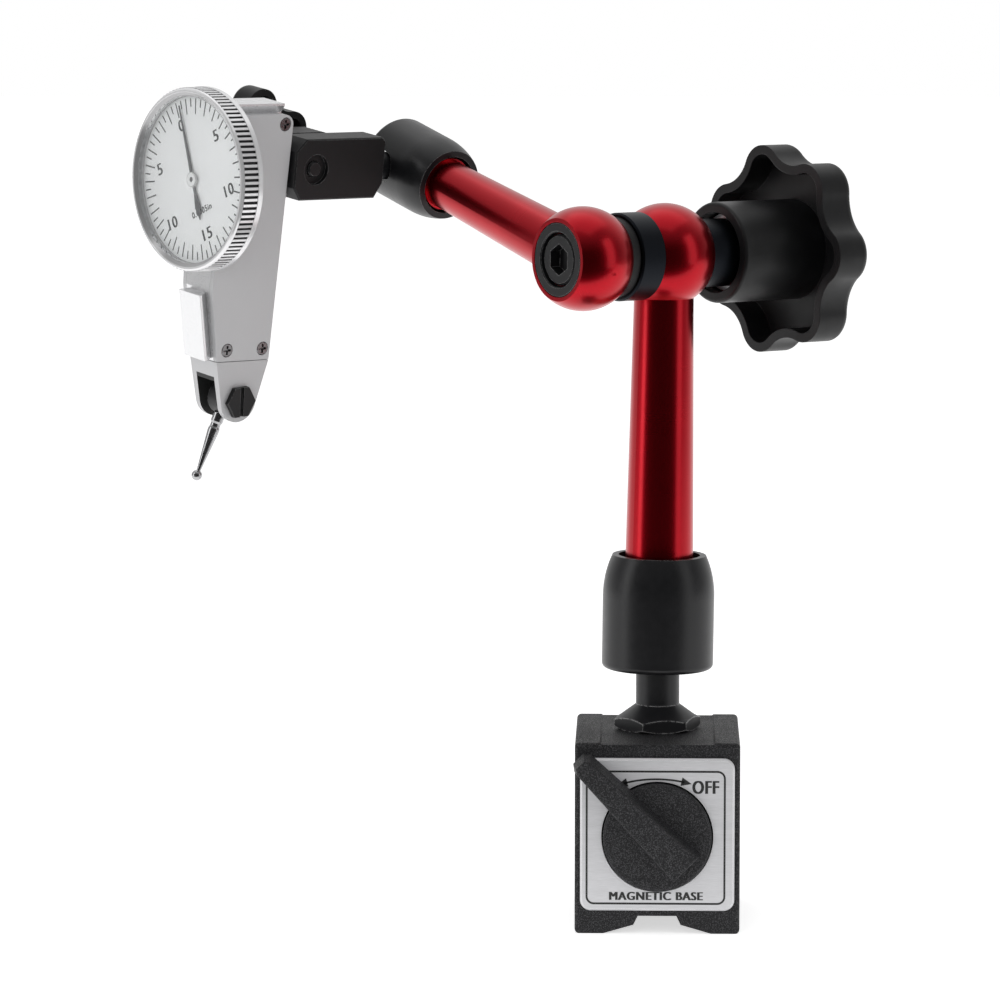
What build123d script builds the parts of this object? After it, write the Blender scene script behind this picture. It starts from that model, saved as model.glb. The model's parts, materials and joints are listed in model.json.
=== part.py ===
from build123d import *
import os
from math import acos, atan2, cos, degrees, pi, radians, sin, sqrt

# A dial test indicator on a jointed arm with a switchable magnetic base. Millimetres, +Z up.
# The origin is the centre of the base's footprint, on the surface it stands on. The front, with
# the switch, faces -Y.

# ---------------------------------------------------------------- clearances
RUN_FIT = 0.06          # radial play of a shaft, ball or ring that turns in its seat
SLIDE_FIT = 0.1         # play beside a dovetail or a key
LOOSE_FIT = 0.3         # room round a bolt, or between pieces that pass without touching
SEAT_GAP = 0.02         # faces that are screwed together

# ---------------------------------------------------------------- magnetic base
BASE_WIDTH = 30.0
BASE_DEPTH = 34.0
BASE_HEIGHT = 35.0
BASE_ROUND = 0.8
SPACER_WIDTH = 6.0
FOOT_WIDTH = 5.2
VEE_RISE = 1.6
SLOT_MOUTH = 8.6
SLOT_TOP = 7.0
SLOT_DEPTH = 3.25
TOP_STEP = 0.3
TOP_STEP_WIDTH = 21.0
SWITCH_HEIGHT = 18.0
MAGNET_RADIUS = 9.5
COVER_RADIUS = 12.8
COVER_THICK = 1.8
COVER_SCREW_CIRCLE = 11.1
COVER_SCREW_RADIUS = 0.8
COVER_SCREWS = 4
TIE_SCREW_RADIUS = 1.5
TIE_HEAD_RADIUS = 3.0

PLATE_SIZE = 28.0
PLATE_RISE = 0.35       # the plate's centre stands this much above the switch's axis
PLATE_THICK = 0.9
PLATE_CORNER = 2.0
PLATE_BEVEL = 0.35

KNOB_DISC_RADIUS = 9.85
KNOB_DISC_THICK = 2.6
KNOB_BOSS_LENGTH = 2.4
LEVER_ANGLE = 135.0     # the switch stands at ON
LEVER_TIP = 20.3
LEVER_TAIL = 7.8
LEVER_TIP_WIDTH = 4.4
LEVER_TAIL_WIDTH = 7.3
LEVER_TOP = 6.6
LEVER_DRAFT = 6.0
TANG_LENGTH = 10.0
TANG_WIDTH = 3.0
TANG_DEPTH = 3.0

# ---------------------------------------------------------------- lower ball joint and arm
STUD_Y = 2.0
STUD_HEX = 14.0
STUD_HEX_HEIGHT = 2.4
STUD_HEX_TURN = 10.5
STUD_CONE_HEIGHT = 2.2
STUD_STEM = 4.0
STUD_THREAD_DEPTH = 6.2
LOWER_BALL = 6.0
LOWER_BALL_HEIGHT = 51.5
LOWER_SLEEVE = dict(outer=10.25, mouth=8.6, closed=5.5, length=21.0, curve=7.5, lip=1.15)
LOWER_TUBE_END = 6.35
LOWER_TUBE_EYE = 5.45
LOWER_LENGTH = 70.67
ARM_LEAN = 0.8          # the arm's lean towards +X at rest
NOTCH_TURN = 90.0

# ---------------------------------------------------------------- elbow
ELBOW_TURN = 51.5       # how far the elbow's axis is turned from the front towards -X
EYE_RADIUS = 9.5
EYE_HALF_WIDTH = 5.8
EYE_SPACING = 18.9
EYE_BORE = 5.4
EYE_RECESS_RADIUS = 6.8
EYE_RECESS_DEPTH = 1.3
COLLAR_RADIUS = 8.05
COLLAR_THICK = 5.4
WASHER_RADIUS = 7.3
BOLT_RADIUS = 3.0
BOLT_HEAD_RADIUS = 4.6
BOLT_HEAD_THICK = 3.0
BOLT_HEAD_SINK = 0.35
BOLT_SOCKET = 5.0
BOLT_SOCKET_DEPTH = 2.2
END_RING_BORE = 5.0
WEDGE_SMALL = 3.4
WEDGE_SLOPE = 0.375
WEDGE_LENGTH = 4.8
WEDGE_LEAD = 2.4        # from the wedge's small end to the push pin's axis
PIN_RADIUS = 2.6
PIN_TIP_RADIUS = 1.4
PIN_GAP = 0.65

# ---------------------------------------------------------------- main star knob
KNOB_HUB_RADIUS = 9.3
KNOB_HUB_FRONT = 11.7   # from the lower eye's centre
KNOB_HUB_BORE = 7.4
KNOB_HUB_RECESS = 3.4
KNOB_SKIRT_FRONT = 25.4
KNOB_SKIRT_DEPTH = 7.0
KNOB_DOME = 1.1
BOSS_RADIUS = 6.25
KNOB_WASHER_THICK = 0.8
INSERT_RADIUS = 5.0
MAIN_STAR = dict(lobes=7, tip=19.6, valley=16.5, lobe_round=5.2, wall=1.7)

# ---------------------------------------------------------------- upper arm
ARM_RISE = 14.76        # the upper arm's rise at rest
UPPER_TUBE_END = 4.45
UPPER_TUBE_EYE = 5.3
UPPER_BALL = 4.0
UPPER_LENGTH = 54.6
UPPER_SLEEVE = dict(outer=7.7, mouth=6.6, closed=5.0, length=17.3, curve=6.0, lip=1.0)
UPPER_STEM = 2.6
UPPER_NOTCH_TURN = 97.0
UPPER_COLLAR_RADIUS = 3.6
UPPER_COLLAR_START = 9.4

# ---------------------------------------------------------------- indicator clamp
DIAL_TURN = 47.9        # how far the dial's axis is turned from the front towards -X
DIAL_ROLL = 7.4
DIAL_PITCH = 0.84
JAW_START = 12.1        # from the upper ball's centre
JAW_LENGTH = 21.0
JAW_HEIGHT = 11.4
JAW_RISE = 0.9
JAW_HALF_THICK = 6.5
JAW_SLIT = 0.8
JAW_CORNER = 2.3
JAW_BEVEL = 1.7
JAW_SCREW_FROM_END = 4.9
CLAMP_SCREW = 1.5
CLAMP_RECESS = 2.8
CLAMP_RECESS_DEPTH = 0.9
STEM_GRIP = 8.4
CLAMP_STAR = dict(lobes=6, tip=12.1, valley=9.5, lobe_round=3.4, wall=1.3)
CLAMP_KNOB_GAP = 0.35
CLAMP_HUB_RADIUS = 5.0
CLAMP_HUB_LENGTH = 4.0
CLAMP_STAR_DEPTH = 5.2

# ---------------------------------------------------------------- dial test indicator
BODY_BACK = 33.6        # from the upper ball's centre, along the dial's axis
BODY_FRONT = 48.3
BODY_TOP = 11.1
SEAM = -34.8
FRONT_BREAK = -21.5
SEAM_FRONT = 45.6
BODY_HALF_TOP = 5.4
BODY_HALF_SEAM = 4.1
BODY_CORNER = 2.0
COVER_PLATE = 1.0
WALL = 1.2
SEAM_GAP = 0.12
PIVOT_Y = -42.5
PIVOT_Z = 39.6
NOSE_ROUND = 4.0
FORK_SLOT = 5.3
FORK_TOP = -38.7
LEVER_PASSAGE = 5.2
RAIL_WIDTH = 6.3
RAIL_NECK = 4.6
RAIL_HEIGHT = 1.7
BACK_RAIL_LOW = -4.7
BACK_RAIL_HIGH = 9.5
FRONT_RAIL_LENGTH = 12.6
FRONT_RAIL_GAP = 0.5
SCREW_HEAD_RADIUS = 1.3
SCREW_HEAD_DEPTH = 0.7
SCREW_SHANK_RADIUS = 0.7
SCREW_LENGTH = 2.4

DIAL_Y = -1.4
BEZEL_FRONT = 53.07
BEZEL_RADIUS = 16.75
BEZEL_BACK_GAP = 0.15
BEZEL_FLANGE = 1.0
KNURLS = 102
KNURL_DEPTH = 0.32
BEZEL_LIP = 0.55         # the plain lip in front of the knurl
CRYSTAL_SINK = 0.95      # the crystal's back, behind the bezel's front
SEAT_RADIUS = 14.6
SEAT_FRONT = 50.5
DIAL_RADIUS = 15.2
DIAL_THICK = 0.4
CRYSTAL_THICK = 0.5
CRYSTAL_DOME = 0.25
POINTER_TURN = 25.0     # the pointer's turn from straight up, towards -x
POINTER_TIP = 13.9
POINTER_TAIL = 7.6
POINTER_THICK = 0.15
POINTER_BOSS = 1.35
POINTER_BOSS_HEIGHT = 0.45
POINTER_TIP_HALF = 0.12
POINTER_WAIST = 0.4     # half width beside the boss
ARBOR_RADIUS = 0.45
CENTRE_PINION = 0.64
CROWN_RADIUS = 4.5
JEWEL_RADIUS = 1.5
CROWN_PINION = 2.16
MESH_GAP = 0.05
SECTOR_THICK = 1.0
STYLUS_LENGTH = 15.4
STYLUS_TURN = 19.7
STYLUS_BALL = 1.0
STYLUS_SCREW = 0.6
HUB_RADIUS = 3.2
PIVOT_RADIUS = 0.8
PIVOT_HEX = 5.5
PIVOT_HEAD = 1.0


# ================================================================ helpers
def turned(outline):
    """A solid of revolution about Z from (radius, height) points."""
    return revolve(make_face(Polyline(*[(r, 0, z) for r, z in outline], close=True)), Axis.Z)


def ring(outer, inner, low, high):
    return turned([(inner, low), (outer, low), (outer, high), (inner, high)])


def rod(radius, low, high):
    return turned([(0, low), (radius, low), (radius, high), (0, high)])


def block(low, high):
    """A box between two opposite corners."""
    size = [b - a for a, b in zip(low, high)]
    centre = [(a + b) / 2 for a, b in zip(low, high)]
    return Pos(*centre) * Box(*size)


def hexagon(across_flats, low, high):
    return Pos(0, 0, low) * extrude(RegularPolygon(across_flats / sqrt(3), 6), high - low)


def placed(origin, x_dir, z_dir):
    return Location(Plane(origin=origin, x_dir=x_dir, z_dir=z_dir))


def along_x(x, y, z):
    """A frame at a point whose Z runs along +X."""
    return placed((x, y, z), (0, 1, 0), (1, 0, 0))


# ================================================================ frames
lean = radians(ARM_LEAN)
turn = radians(ELBOW_TURN)
ball_centre = Vector(0, STUD_Y, LOWER_BALL_HEIGHT)
arm_axis = Vector(sin(lean), 0, cos(lean))
level_axis = Vector(-sin(turn), -cos(turn), 0)
elbow_axis = (level_axis - arm_axis * level_axis.dot(arm_axis)).normalized()
across = arm_axis.cross(elbow_axis)
elbow = ball_centre + arm_axis * LOWER_LENGTH
upper_eye = elbow + elbow_axis * EYE_SPACING
rise = radians(ARM_RISE)
reach_axis = arm_axis * sin(rise) - across * cos(rise)
upper_ball = upper_eye + reach_axis * UPPER_LENGTH

heading = radians(DIAL_TURN)
roll = radians(DIAL_ROLL)
pitch = radians(DIAL_PITCH)
level_side = Vector(cos(heading), -sin(heading), 0)
dial_side = level_side * cos(roll) - Vector(0, 0, 1) * sin(roll)
rolled_up = Vector(0, 0, 1) * cos(roll) + level_side * sin(roll)
dial_axis = Vector(-sin(heading), -cos(heading), 0) * cos(pitch) + rolled_up * sin(pitch)
notch_side = (dial_axis - reach_axis * dial_axis.dot(reach_axis)).normalized()

SWITCH = placed((0, -BASE_DEPTH / 2, SWITCH_HEIGHT), (1, 0, 0), (0, -1, 0))
STUD = Location((0, STUD_Y, 0))
LOWER_ARM = placed(ball_centre, elbow_axis, arm_axis)
LOWER_SOCKET = placed(ball_centre, (cos(lean), 0, -sin(lean)), arm_axis)
ELBOW = placed(elbow, arm_axis, elbow_axis)
MAIN_KNOB = placed(elbow, arm_axis, -elbow_axis)
UPPER_ARM = placed(upper_eye, elbow_axis, reach_axis)
UPPER_SOCKET = placed(upper_ball, notch_side.cross(-reach_axis), -reach_axis)
INDICATOR = placed(upper_ball, dial_side, dial_axis)
CLAMP_SCREW_Z = JAW_START + JAW_LENGTH - JAW_SCREW_FROM_END
CLAMP_KNOB = INDICATOR * placed((0, JAW_RISE, CLAMP_SCREW_Z), (0, 1, 0), (-1, 0, 0))
DIAL = INDICATOR * Pos(0, DIAL_Y, 0)


# ================================================================ magnetic base
def pole_outline():
    """The right-hand half of the base's front outline, in (x, z)."""
    half = BASE_WIDTH / 2
    step = TOP_STEP_WIDTH / 2
    return [
        (0, SLOT_DEPTH), (SLOT_TOP / 2, SLOT_DEPTH), (SLOT_MOUTH / 2, VEE_RISE),
        (half - FOOT_WIDTH, 0), (half, 0), (half, BASE_HEIGHT), (step, BASE_HEIGHT),
        (step - TOP_STEP, BASE_HEIGHT - TOP_STEP), (0, BASE_HEIGHT - TOP_STEP),
    ]


def base_body():
    right = make_face(Polyline(*[(x, 0, z) for x, z in pole_outline()], close=True))
    half = extrude(right, BASE_DEPTH / 2, dir=(0, 1, 0), both=True)
    long_edges = half.edges().filter_by(Axis.Y).group_by(Axis.X)[-1]
    upright = half.edges().filter_by(Axis.Z).group_by(Axis.X)[-1]
    rim = half.faces().sort_by(Axis.Z)[-1].edges().filter_by(Axis.X)
    half = fillet(ShapeList(long_edges + upright + rim), BASE_ROUND)
    whole = half + mirror(half, Plane.YZ)
    whole -= SWITCH * rod(MAGNET_RADIUS + RUN_FIT, -BASE_DEPTH - 1, 1)
    whole -= SWITCH * rod(COVER_RADIUS + SLIDE_FIT, -BASE_DEPTH - 1, COVER_THICK - BASE_DEPTH)
    for spot in cover_screw_spots():
        whole -= spot * rod(COVER_SCREW_RADIUS, -SCREW_LENGTH - COVER_THICK - 1, 0)
    depth = STUD_THREAD_DEPTH + LOOSE_FIT
    whole -= STUD * rod(STUD_STEM, BASE_HEIGHT - TOP_STEP - depth, BASE_HEIGHT)
    return whole


def cover_screw_spots():
    back = placed((0, BASE_DEPTH / 2, SWITCH_HEIGHT), (1, 0, 0), (0, 1, 0))
    return [back * loc for loc in PolarLocations(COVER_SCREW_CIRCLE, COVER_SCREWS, 45)]


def base_pieces():
    whole = base_body()
    spacer = block((-SPACER_WIDTH / 2, -BASE_DEPTH, -1), (SPACER_WIDTH / 2, BASE_DEPTH, BASE_HEIGHT + 1))
    left = block((-BASE_WIDTH, -BASE_DEPTH, -1), (-SPACER_WIDTH / 2, BASE_DEPTH, BASE_HEIGHT + 1))
    right = mirror(left, Plane.YZ)
    return {"base_left_pole": whole & left, "base_right_pole": whole & right, "base_spacer": whole & spacer}


def back_cover():
    spot = placed((0, BASE_DEPTH / 2, SWITCH_HEIGHT), (1, 0, 0), (0, 1, 0))
    cover = spot * rod(COVER_RADIUS, -COVER_THICK + SEAT_GAP, 0)
    cover = chamfer(cover.faces().sort_by(Axis.Y)[-1].edges(), 0.4)
    for hole in cover_screw_spots():
        cover -= hole * rod(COVER_SCREW_RADIUS + SLIDE_FIT, -COVER_THICK - 1, 1)
        cover -= hole * rod(2 * COVER_SCREW_RADIUS, -COVER_THICK / 2, 1)
    return cover


def cover_screws():
    head = COVER_THICK / 2 - SEAT_GAP
    screw = rod(2 * COVER_SCREW_RADIUS - SLIDE_FIT, -head, 0)
    screw += rod(COVER_SCREW_RADIUS - SEAT_GAP, -COVER_THICK - SCREW_LENGTH, -head)
    screw -= cross_recess(COVER_SCREW_RADIUS * 1.1, 0.6)
    return [spot * screw for spot in cover_screw_spots()]


def cross_recess(reach, depth):
    """A crosshead recess cut down from z = 0."""
    blade = block((-reach, -reach / 4, -depth), (reach, reach / 4, 1))
    return blade + Rot(0, 0, 90) * blade


def magnet_rotor():
    front = -KNOB_BOSS_LENGTH - SLIDE_FIT
    back = COVER_THICK - BASE_DEPTH + LOOSE_FIT
    rotor = rod(MAGNET_RADIUS, back, front)
    rotor -= lever_turn() * key(TANG_LENGTH + 2 * SLIDE_FIT, TANG_WIDTH + 2 * SLIDE_FIT, TANG_DEPTH + LOOSE_FIT)
    rotor -= rod(TIE_SCREW_RADIUS + SLIDE_FIT, back - 1, front)
    rotor -= rod(TIE_HEAD_RADIUS + SLIDE_FIT, back - 1, back + TIE_HEAD_RADIUS)
    return SWITCH * rotor


def lever_turn():
    return Rot(0, 0, LEVER_ANGLE)


def key(length, width, depth):
    top = -KNOB_BOSS_LENGTH
    return block((-length / 2, -width / 2, top - depth), (length / 2, width / 2, top + 0.5))


def switch_knob():
    disc = rod(KNOB_DISC_RADIUS, SLIDE_FIT, KNOB_DISC_THICK)
    disc = fillet(disc.faces().sort_by(Axis.Z)[-1].edges(), 0.5)
    boss = rod(MAGNET_RADIUS - LOOSE_FIT, -KNOB_BOSS_LENGTH, SLIDE_FIT)
    outline = Polyline(
        (LEVER_TIP, LEVER_TIP_WIDTH / 2 - 0.9), (LEVER_TIP - 1.2, LEVER_TIP_WIDTH / 2),
        (-LEVER_TAIL, LEVER_TAIL_WIDTH / 2), (-LEVER_TAIL, -LEVER_TAIL_WIDTH / 2),
        (LEVER_TIP - 1.2, -LEVER_TIP_WIDTH / 2), (LEVER_TIP, 0.9 - LEVER_TIP_WIDTH / 2), close=True)
    foot = PLATE_THICK + LOOSE_FIT
    bar = Pos(0, 0, foot) * extrude(make_face(outline), LEVER_TOP - foot, taper=LEVER_DRAFT)
    bar = fillet(bar.faces().sort_by(Axis.Z)[-1].edges(), 0.4)
    knob = disc + boss + lever_turn() * (bar + key(TANG_LENGTH, TANG_WIDTH, TANG_DEPTH))
    knob -= rod(TIE_SCREW_RADIUS, -KNOB_BOSS_LENGTH - TANG_DEPTH - 1, KNOB_DISC_THICK - 1)
    return SWITCH * knob


def tie_screw():
    back = COVER_THICK - BASE_DEPTH + LOOSE_FIT
    screw = rod(TIE_HEAD_RADIUS, back, back + TIE_HEAD_RADIUS - SEAT_GAP)
    screw += rod(TIE_SCREW_RADIUS - SEAT_GAP, back + 1, KNOB_DISC_THICK - 1 - LOOSE_FIT)
    return SWITCH * screw


def label_plate():
    plate = Pos(0, PLATE_RISE, 0) * extrude(RectangleRounded(PLATE_SIZE, PLATE_SIZE, PLATE_CORNER), PLATE_THICK)
    plate = chamfer(plate.faces().sort_by(Axis.Z)[-1].edges(), PLATE_BEVEL)
    plate -= rod(KNOB_DISC_RADIUS + LOOSE_FIT, -1, PLATE_THICK + 1)
    return SWITCH * plate


def lower_stud():
    low = BASE_HEIGHT - TOP_STEP + SEAT_GAP
    high = low + STUD_HEX_HEIGHT
    corner = STUD_HEX / sqrt(3)
    cut = corner - STUD_HEX / 2
    barrel = turned([
        (0, low), (corner - cut, low), (corner, low + cut * 0.5), (corner, high - cut * 0.5),
        (corner - cut, high), (0, high)])
    stud = (Rot(0, 0, STUD_HEX_TURN) * hexagon(STUD_HEX, low, high)) & barrel
    stud += turned([
        (0, low - STUD_THREAD_DEPTH), (STUD_STEM - SEAT_GAP, low - STUD_THREAD_DEPTH),
        (STUD_STEM - SEAT_GAP, low + 0.5), (STUD_HEX / 2, low + 0.5), (STUD_HEX / 2, high),
        (STUD_STEM, high + STUD_CONE_HEIGHT), (STUD_STEM, LOWER_BALL_HEIGHT), (0, LOWER_BALL_HEIGHT)])
    stud += Pos(0, 0, LOWER_BALL_HEIGHT) * Sphere(LOWER_BALL)
    return STUD * stud


# ================================================================ ball sockets
def notch(width, reach, turn_angle):
    """The slot that lets a ball's stem swing from -Z towards +Y."""
    leaf = make_face(Polyline(
        (-width / 2, 0, 0), (width / 2, 0, 0), (width / 2, 0, -reach), (-width / 2, 0, -reach), close=True))
    sweep = revolve(leaf, Axis.X, revolution_arc=turn_angle)
    end = rod(width / 2, -reach, 0)
    return sweep + end + Rot(turn_angle, 0, 0) * end


def sleeve(size, ball, tube, stem, turn_angle):
    """A socket sleeve in its own frame: the ball's centre at the origin and the mouth towards +Z."""
    low = -size["closed"]
    high = low + size["length"]
    bend = size["outer"] - size["mouth"]
    curve_radius = (size["curve"] ** 2 + bend ** 2) / (2 * bend)
    waist = high - size["curve"]
    middle = size["outer"] - curve_radius + sqrt(curve_radius ** 2 - (size["curve"] / 2) ** 2)
    side = Line((size["outer"], 0, low), (size["outer"], 0, waist))
    shoulder = ThreePointArc(
        (size["outer"], 0, waist), (middle, 0, waist + size["curve"] / 2), (size["mouth"], 0, high))
    rest = Polyline((size["mouth"], 0, high), (0, 0, high), (0, 0, low), (size["outer"], 0, low))
    shell = revolve(make_face([side, shoulder, *rest.edges()]), Axis.Z)
    shell = fillet(shell.faces().sort_by(Axis.Z)[0].edges(), 1.0)
    flange = flange_radius(tube)
    keep = keeper_height(ball)
    shell -= turned([
        (0, 0), (flange + RUN_FIT, 0), (flange + RUN_FIT, keep), (tube + RUN_FIT, keep),
        (tube + RUN_FIT, keep + 1.2), (tube + size["lip"], keep + 1.2), (tube + size["lip"], high + 1), (0, high + 1)])
    shell -= Sphere(ball + RUN_FIT)
    shell -= notch(2 * stem + 2 * LOOSE_FIT, size["outer"] + 2, turn_angle)
    return shell


def flange_radius(tube):
    return tube + 0.55


def keeper_height(ball):
    """The height, above the ball's centre, of the shoulder that keeps the arm's flange in the sleeve."""
    return ball + 2.2


def push_pin(ball, length):
    """A push pin, from the wedge at z = 0 to the cup on a ball whose centre is at z = length."""
    start = WEDGE_SMALL + WEDGE_SLOPE * WEDGE_LEAD + PIN_GAP
    end = length - ball * 0.8
    pin = turned([
        (0, start), (PIN_TIP_RADIUS, start), (PIN_RADIUS, start + PIN_RADIUS - PIN_TIP_RADIUS),
        (PIN_RADIUS, end), (0, end)])
    return pin - Pos(0, 0, length) * Sphere(ball + RUN_FIT)


def arm(tube_eye, tube_end, ball, length):
    """An arm tube with its eye at the origin, running along +Z towards its ball."""
    flange_top = length - ball - 1.0
    flange_foot = length - keeper_height(ball) + SLIDE_FIT
    tube = turned([
        (0, 0), (tube_eye, 0), (tube_eye, EYE_RADIUS * 0.7), (tube_end, flange_foot),
        (flange_radius(tube_end), flange_foot), (flange_radius(tube_end), flange_top), (0, flange_top)])
    eye = Sphere(EYE_RADIUS) & block(
        (-EYE_HALF_WIDTH, -EYE_RADIUS, -EYE_RADIUS), (EYE_HALF_WIDTH, EYE_RADIUS, EYE_RADIUS))
    body = tube + eye
    body -= along_x(0, 0, 0) * rod(EYE_BORE, -EYE_RADIUS, EYE_RADIUS)
    return body - rod(PIN_RADIUS + RUN_FIT, 0, length)


def lower_arm():
    body = Pos(0, 0, LOWER_LENGTH) * Rot(180, 0, 0) * arm(
        LOWER_TUBE_EYE, LOWER_TUBE_END, LOWER_BALL, LOWER_LENGTH)
    return LOWER_ARM * body


def upper_arm():
    body = arm(UPPER_TUBE_EYE, UPPER_TUBE_END, UPPER_BALL, UPPER_LENGTH)
    mouth = UPPER_LENGTH + UPPER_SLEEVE["closed"] - UPPER_SLEEVE["length"]
    body += ring(UPPER_TUBE_END + 0.55, PIN_RADIUS + 1, mouth + 0.6, mouth + 1.4)
    recess = along_x(EYE_HALF_WIDTH, 0, 0) * rod(EYE_RECESS_RADIUS, -EYE_RECESS_DEPTH, 1)
    return UPPER_ARM * (body - recess)


# ================================================================ elbow
def wedge(centre):
    """A clamping cone on the draw bolt for the push pin at one eye's centre."""
    foot = centre - WEDGE_LEAD
    large = WEDGE_SMALL + WEDGE_SLOPE * WEDGE_LENGTH
    return ELBOW * turned([
        (BOLT_RADIUS + SEAT_GAP, foot), (WEDGE_SMALL, foot), (large, foot + WEDGE_LENGTH),
        (BOLT_RADIUS + SEAT_GAP, foot + WEDGE_LENGTH)])


def draw_bolt():
    face = EYE_SPACING + EYE_HALF_WIDTH - BOLT_HEAD_SINK
    under = face - BOLT_HEAD_THICK
    tail = -(KNOB_SKIRT_FRONT + 1)
    head = rod(BOLT_HEAD_RADIUS, under, face)
    head = chamfer(head.faces().sort_by(Axis.Z)[-1].edges(), 0.35)
    bolt = head + rod(BOLT_RADIUS, tail, under)
    return ELBOW * (bolt - hexagon(BOLT_SOCKET, face - BOLT_SOCKET_DEPTH, face + 1))


def end_ring():
    face = EYE_SPACING + EYE_HALF_WIDTH
    body = ring(EYE_RECESS_RADIUS - SEAT_GAP, END_RING_BORE, face - EYE_RECESS_DEPTH + SEAT_GAP, face)
    return ELBOW * chamfer(body.faces().sort_by(Axis.Z)[-1].edges(), 0.2)


def elbow_collar():
    body = ring(COLLAR_RADIUS, BOLT_RADIUS + LOOSE_FIT, EYE_HALF_WIDTH + SEAT_GAP, EYE_HALF_WIDTH + COLLAR_THICK)
    return ELBOW * chamfer(body.edges().filter_by(GeomType.CIRCLE).sort_by(SortBy.RADIUS)[-2:], 0.3)


def elbow_washer():
    low = EYE_HALF_WIDTH + COLLAR_THICK + SEAT_GAP
    return ELBOW * ring(WASHER_RADIUS, BOLT_RADIUS + LOOSE_FIT, low, EYE_SPACING - EYE_HALF_WIDTH - 2 * SEAT_GAP)


def knob_boss():
    end = KNOB_HUB_FRONT + KNOB_HUB_RECESS - KNOB_WASHER_THICK - 2 * SEAT_GAP
    body = ring(BOSS_RADIUS, BOLT_RADIUS + LOOSE_FIT, EYE_HALF_WIDTH + SEAT_GAP, end)
    return MAIN_KNOB * body


def knob_washer():
    end = KNOB_HUB_FRONT + KNOB_HUB_RECESS - SEAT_GAP
    return MAIN_KNOB * ring(KNOB_HUB_BORE - LOOSE_FIT, BOLT_RADIUS + LOOSE_FIT, end - KNOB_WASHER_THICK, end)


# ================================================================ star knobs
def star_face(star, inset=0.0):
    """A star knob's outline: round lobes joined by round valleys, all tangent."""
    count = star["lobes"]
    lobe = star["lobe_round"] - inset
    centre = star["tip"] - star["lobe_round"]
    half = pi / count
    floor = star["valley"]
    spread = centre ** 2 + floor ** 2 - 2 * centre * floor * cos(half) - star["lobe_round"] ** 2
    valley = spread / (2 * (star["lobe_round"] - floor + centre * cos(half)))
    valley_centre = floor + valley
    valley += inset
    edges = []
    for index in range(count):
        middle = 2 * half * index
        tip = Vector(centre * cos(middle), centre * sin(middle))
        before, after = (
            Vector(valley_centre * cos(middle + side * half), valley_centre * sin(middle + side * half))
            for side in (-1, 1))
        following = Vector(centre * cos(middle + 2 * half), centre * sin(middle + 2 * half))
        start = tip + (before - tip).normalized() * lobe
        end = tip + (after - tip).normalized() * lobe
        crown = tip + tip.normalized() * lobe
        next_start = following + (after - following).normalized() * lobe
        edges.append(ThreePointArc(start, crown, end))
        edges.append(ThreePointArc(end, after - after.normalized() * valley, next_start))
    return make_face(edges)


def star_cap(star, front, depth, dome, edge):
    """A hollow star cap, open towards -Z, with a domed back."""
    back = front + depth
    body = Pos(0, 0, front) * extrude(star_face(star), depth + dome)
    reach = star["tip"] + 1
    round_radius = (reach ** 2 + dome ** 2) / (2 * dome)
    body &= Pos(0, 0, back + dome - round_radius) * Sphere(round_radius)
    body = fillet(body.faces().sort_by(Axis.Z)[-1].edges(), edge)
    body -= Pos(0, 0, front - 1) * extrude(star_face(star, star["wall"]), depth - star["wall"] + 1)
    return body


def main_knob():
    back = KNOB_SKIRT_FRONT + KNOB_SKIRT_DEPTH - MAIN_STAR["wall"]
    hub = rod(KNOB_HUB_RADIUS, KNOB_HUB_FRONT, back + 0.5)
    hub = fillet(hub.faces().sort_by(Axis.Z)[0].edges(), 0.6)
    body = hub + star_cap(MAIN_STAR, KNOB_SKIRT_FRONT, KNOB_SKIRT_DEPTH, KNOB_DOME, 1.6)
    body -= rod(KNOB_HUB_BORE, KNOB_HUB_FRONT - 1, KNOB_HUB_FRONT + KNOB_HUB_RECESS)
    body -= rod(INSERT_RADIUS, KNOB_HUB_FRONT, KNOB_SKIRT_FRONT + 2)
    return MAIN_KNOB * Rot(0, 0, knob_turn()) * body


def knob_turn():
    """Turns the main knob so that one lobe points level, towards the near side."""
    return 90.0


def knob_insert():
    low = KNOB_HUB_FRONT + KNOB_HUB_RECESS + SEAT_GAP
    return MAIN_KNOB * ring(INSERT_RADIUS - SEAT_GAP, BOLT_RADIUS + RUN_FIT, low, KNOB_SKIRT_FRONT + 2 - SEAT_GAP)


# ================================================================ clamp
def rail(height, half_neck, half_width, low, high):
    """A dovetail rail standing on z = 0 and running along Y."""
    outline = Polyline(
        (-half_neck, 0, -0.5), (half_neck, 0, -0.5), (half_neck, 0, 0), (half_width, 0, height * 0.75),
        (half_width, 0, height), (-half_width, 0, height), (-half_width, 0, height * 0.75),
        (-half_neck, 0, 0), close=True)
    return Pos(0, low, 0) * extrude(make_face(outline), high - low, dir=(0, 1, 0))


def back_rail(play=0.0, low=BACK_RAIL_LOW, high=BACK_RAIL_HIGH):
    shape = rail(RAIL_HEIGHT + play, RAIL_NECK / 2 + play, RAIL_WIDTH / 2 + play, -high, -low)
    return Pos(0, 0, BODY_BACK) * Rot(180, 0, 0) * shape


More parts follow.
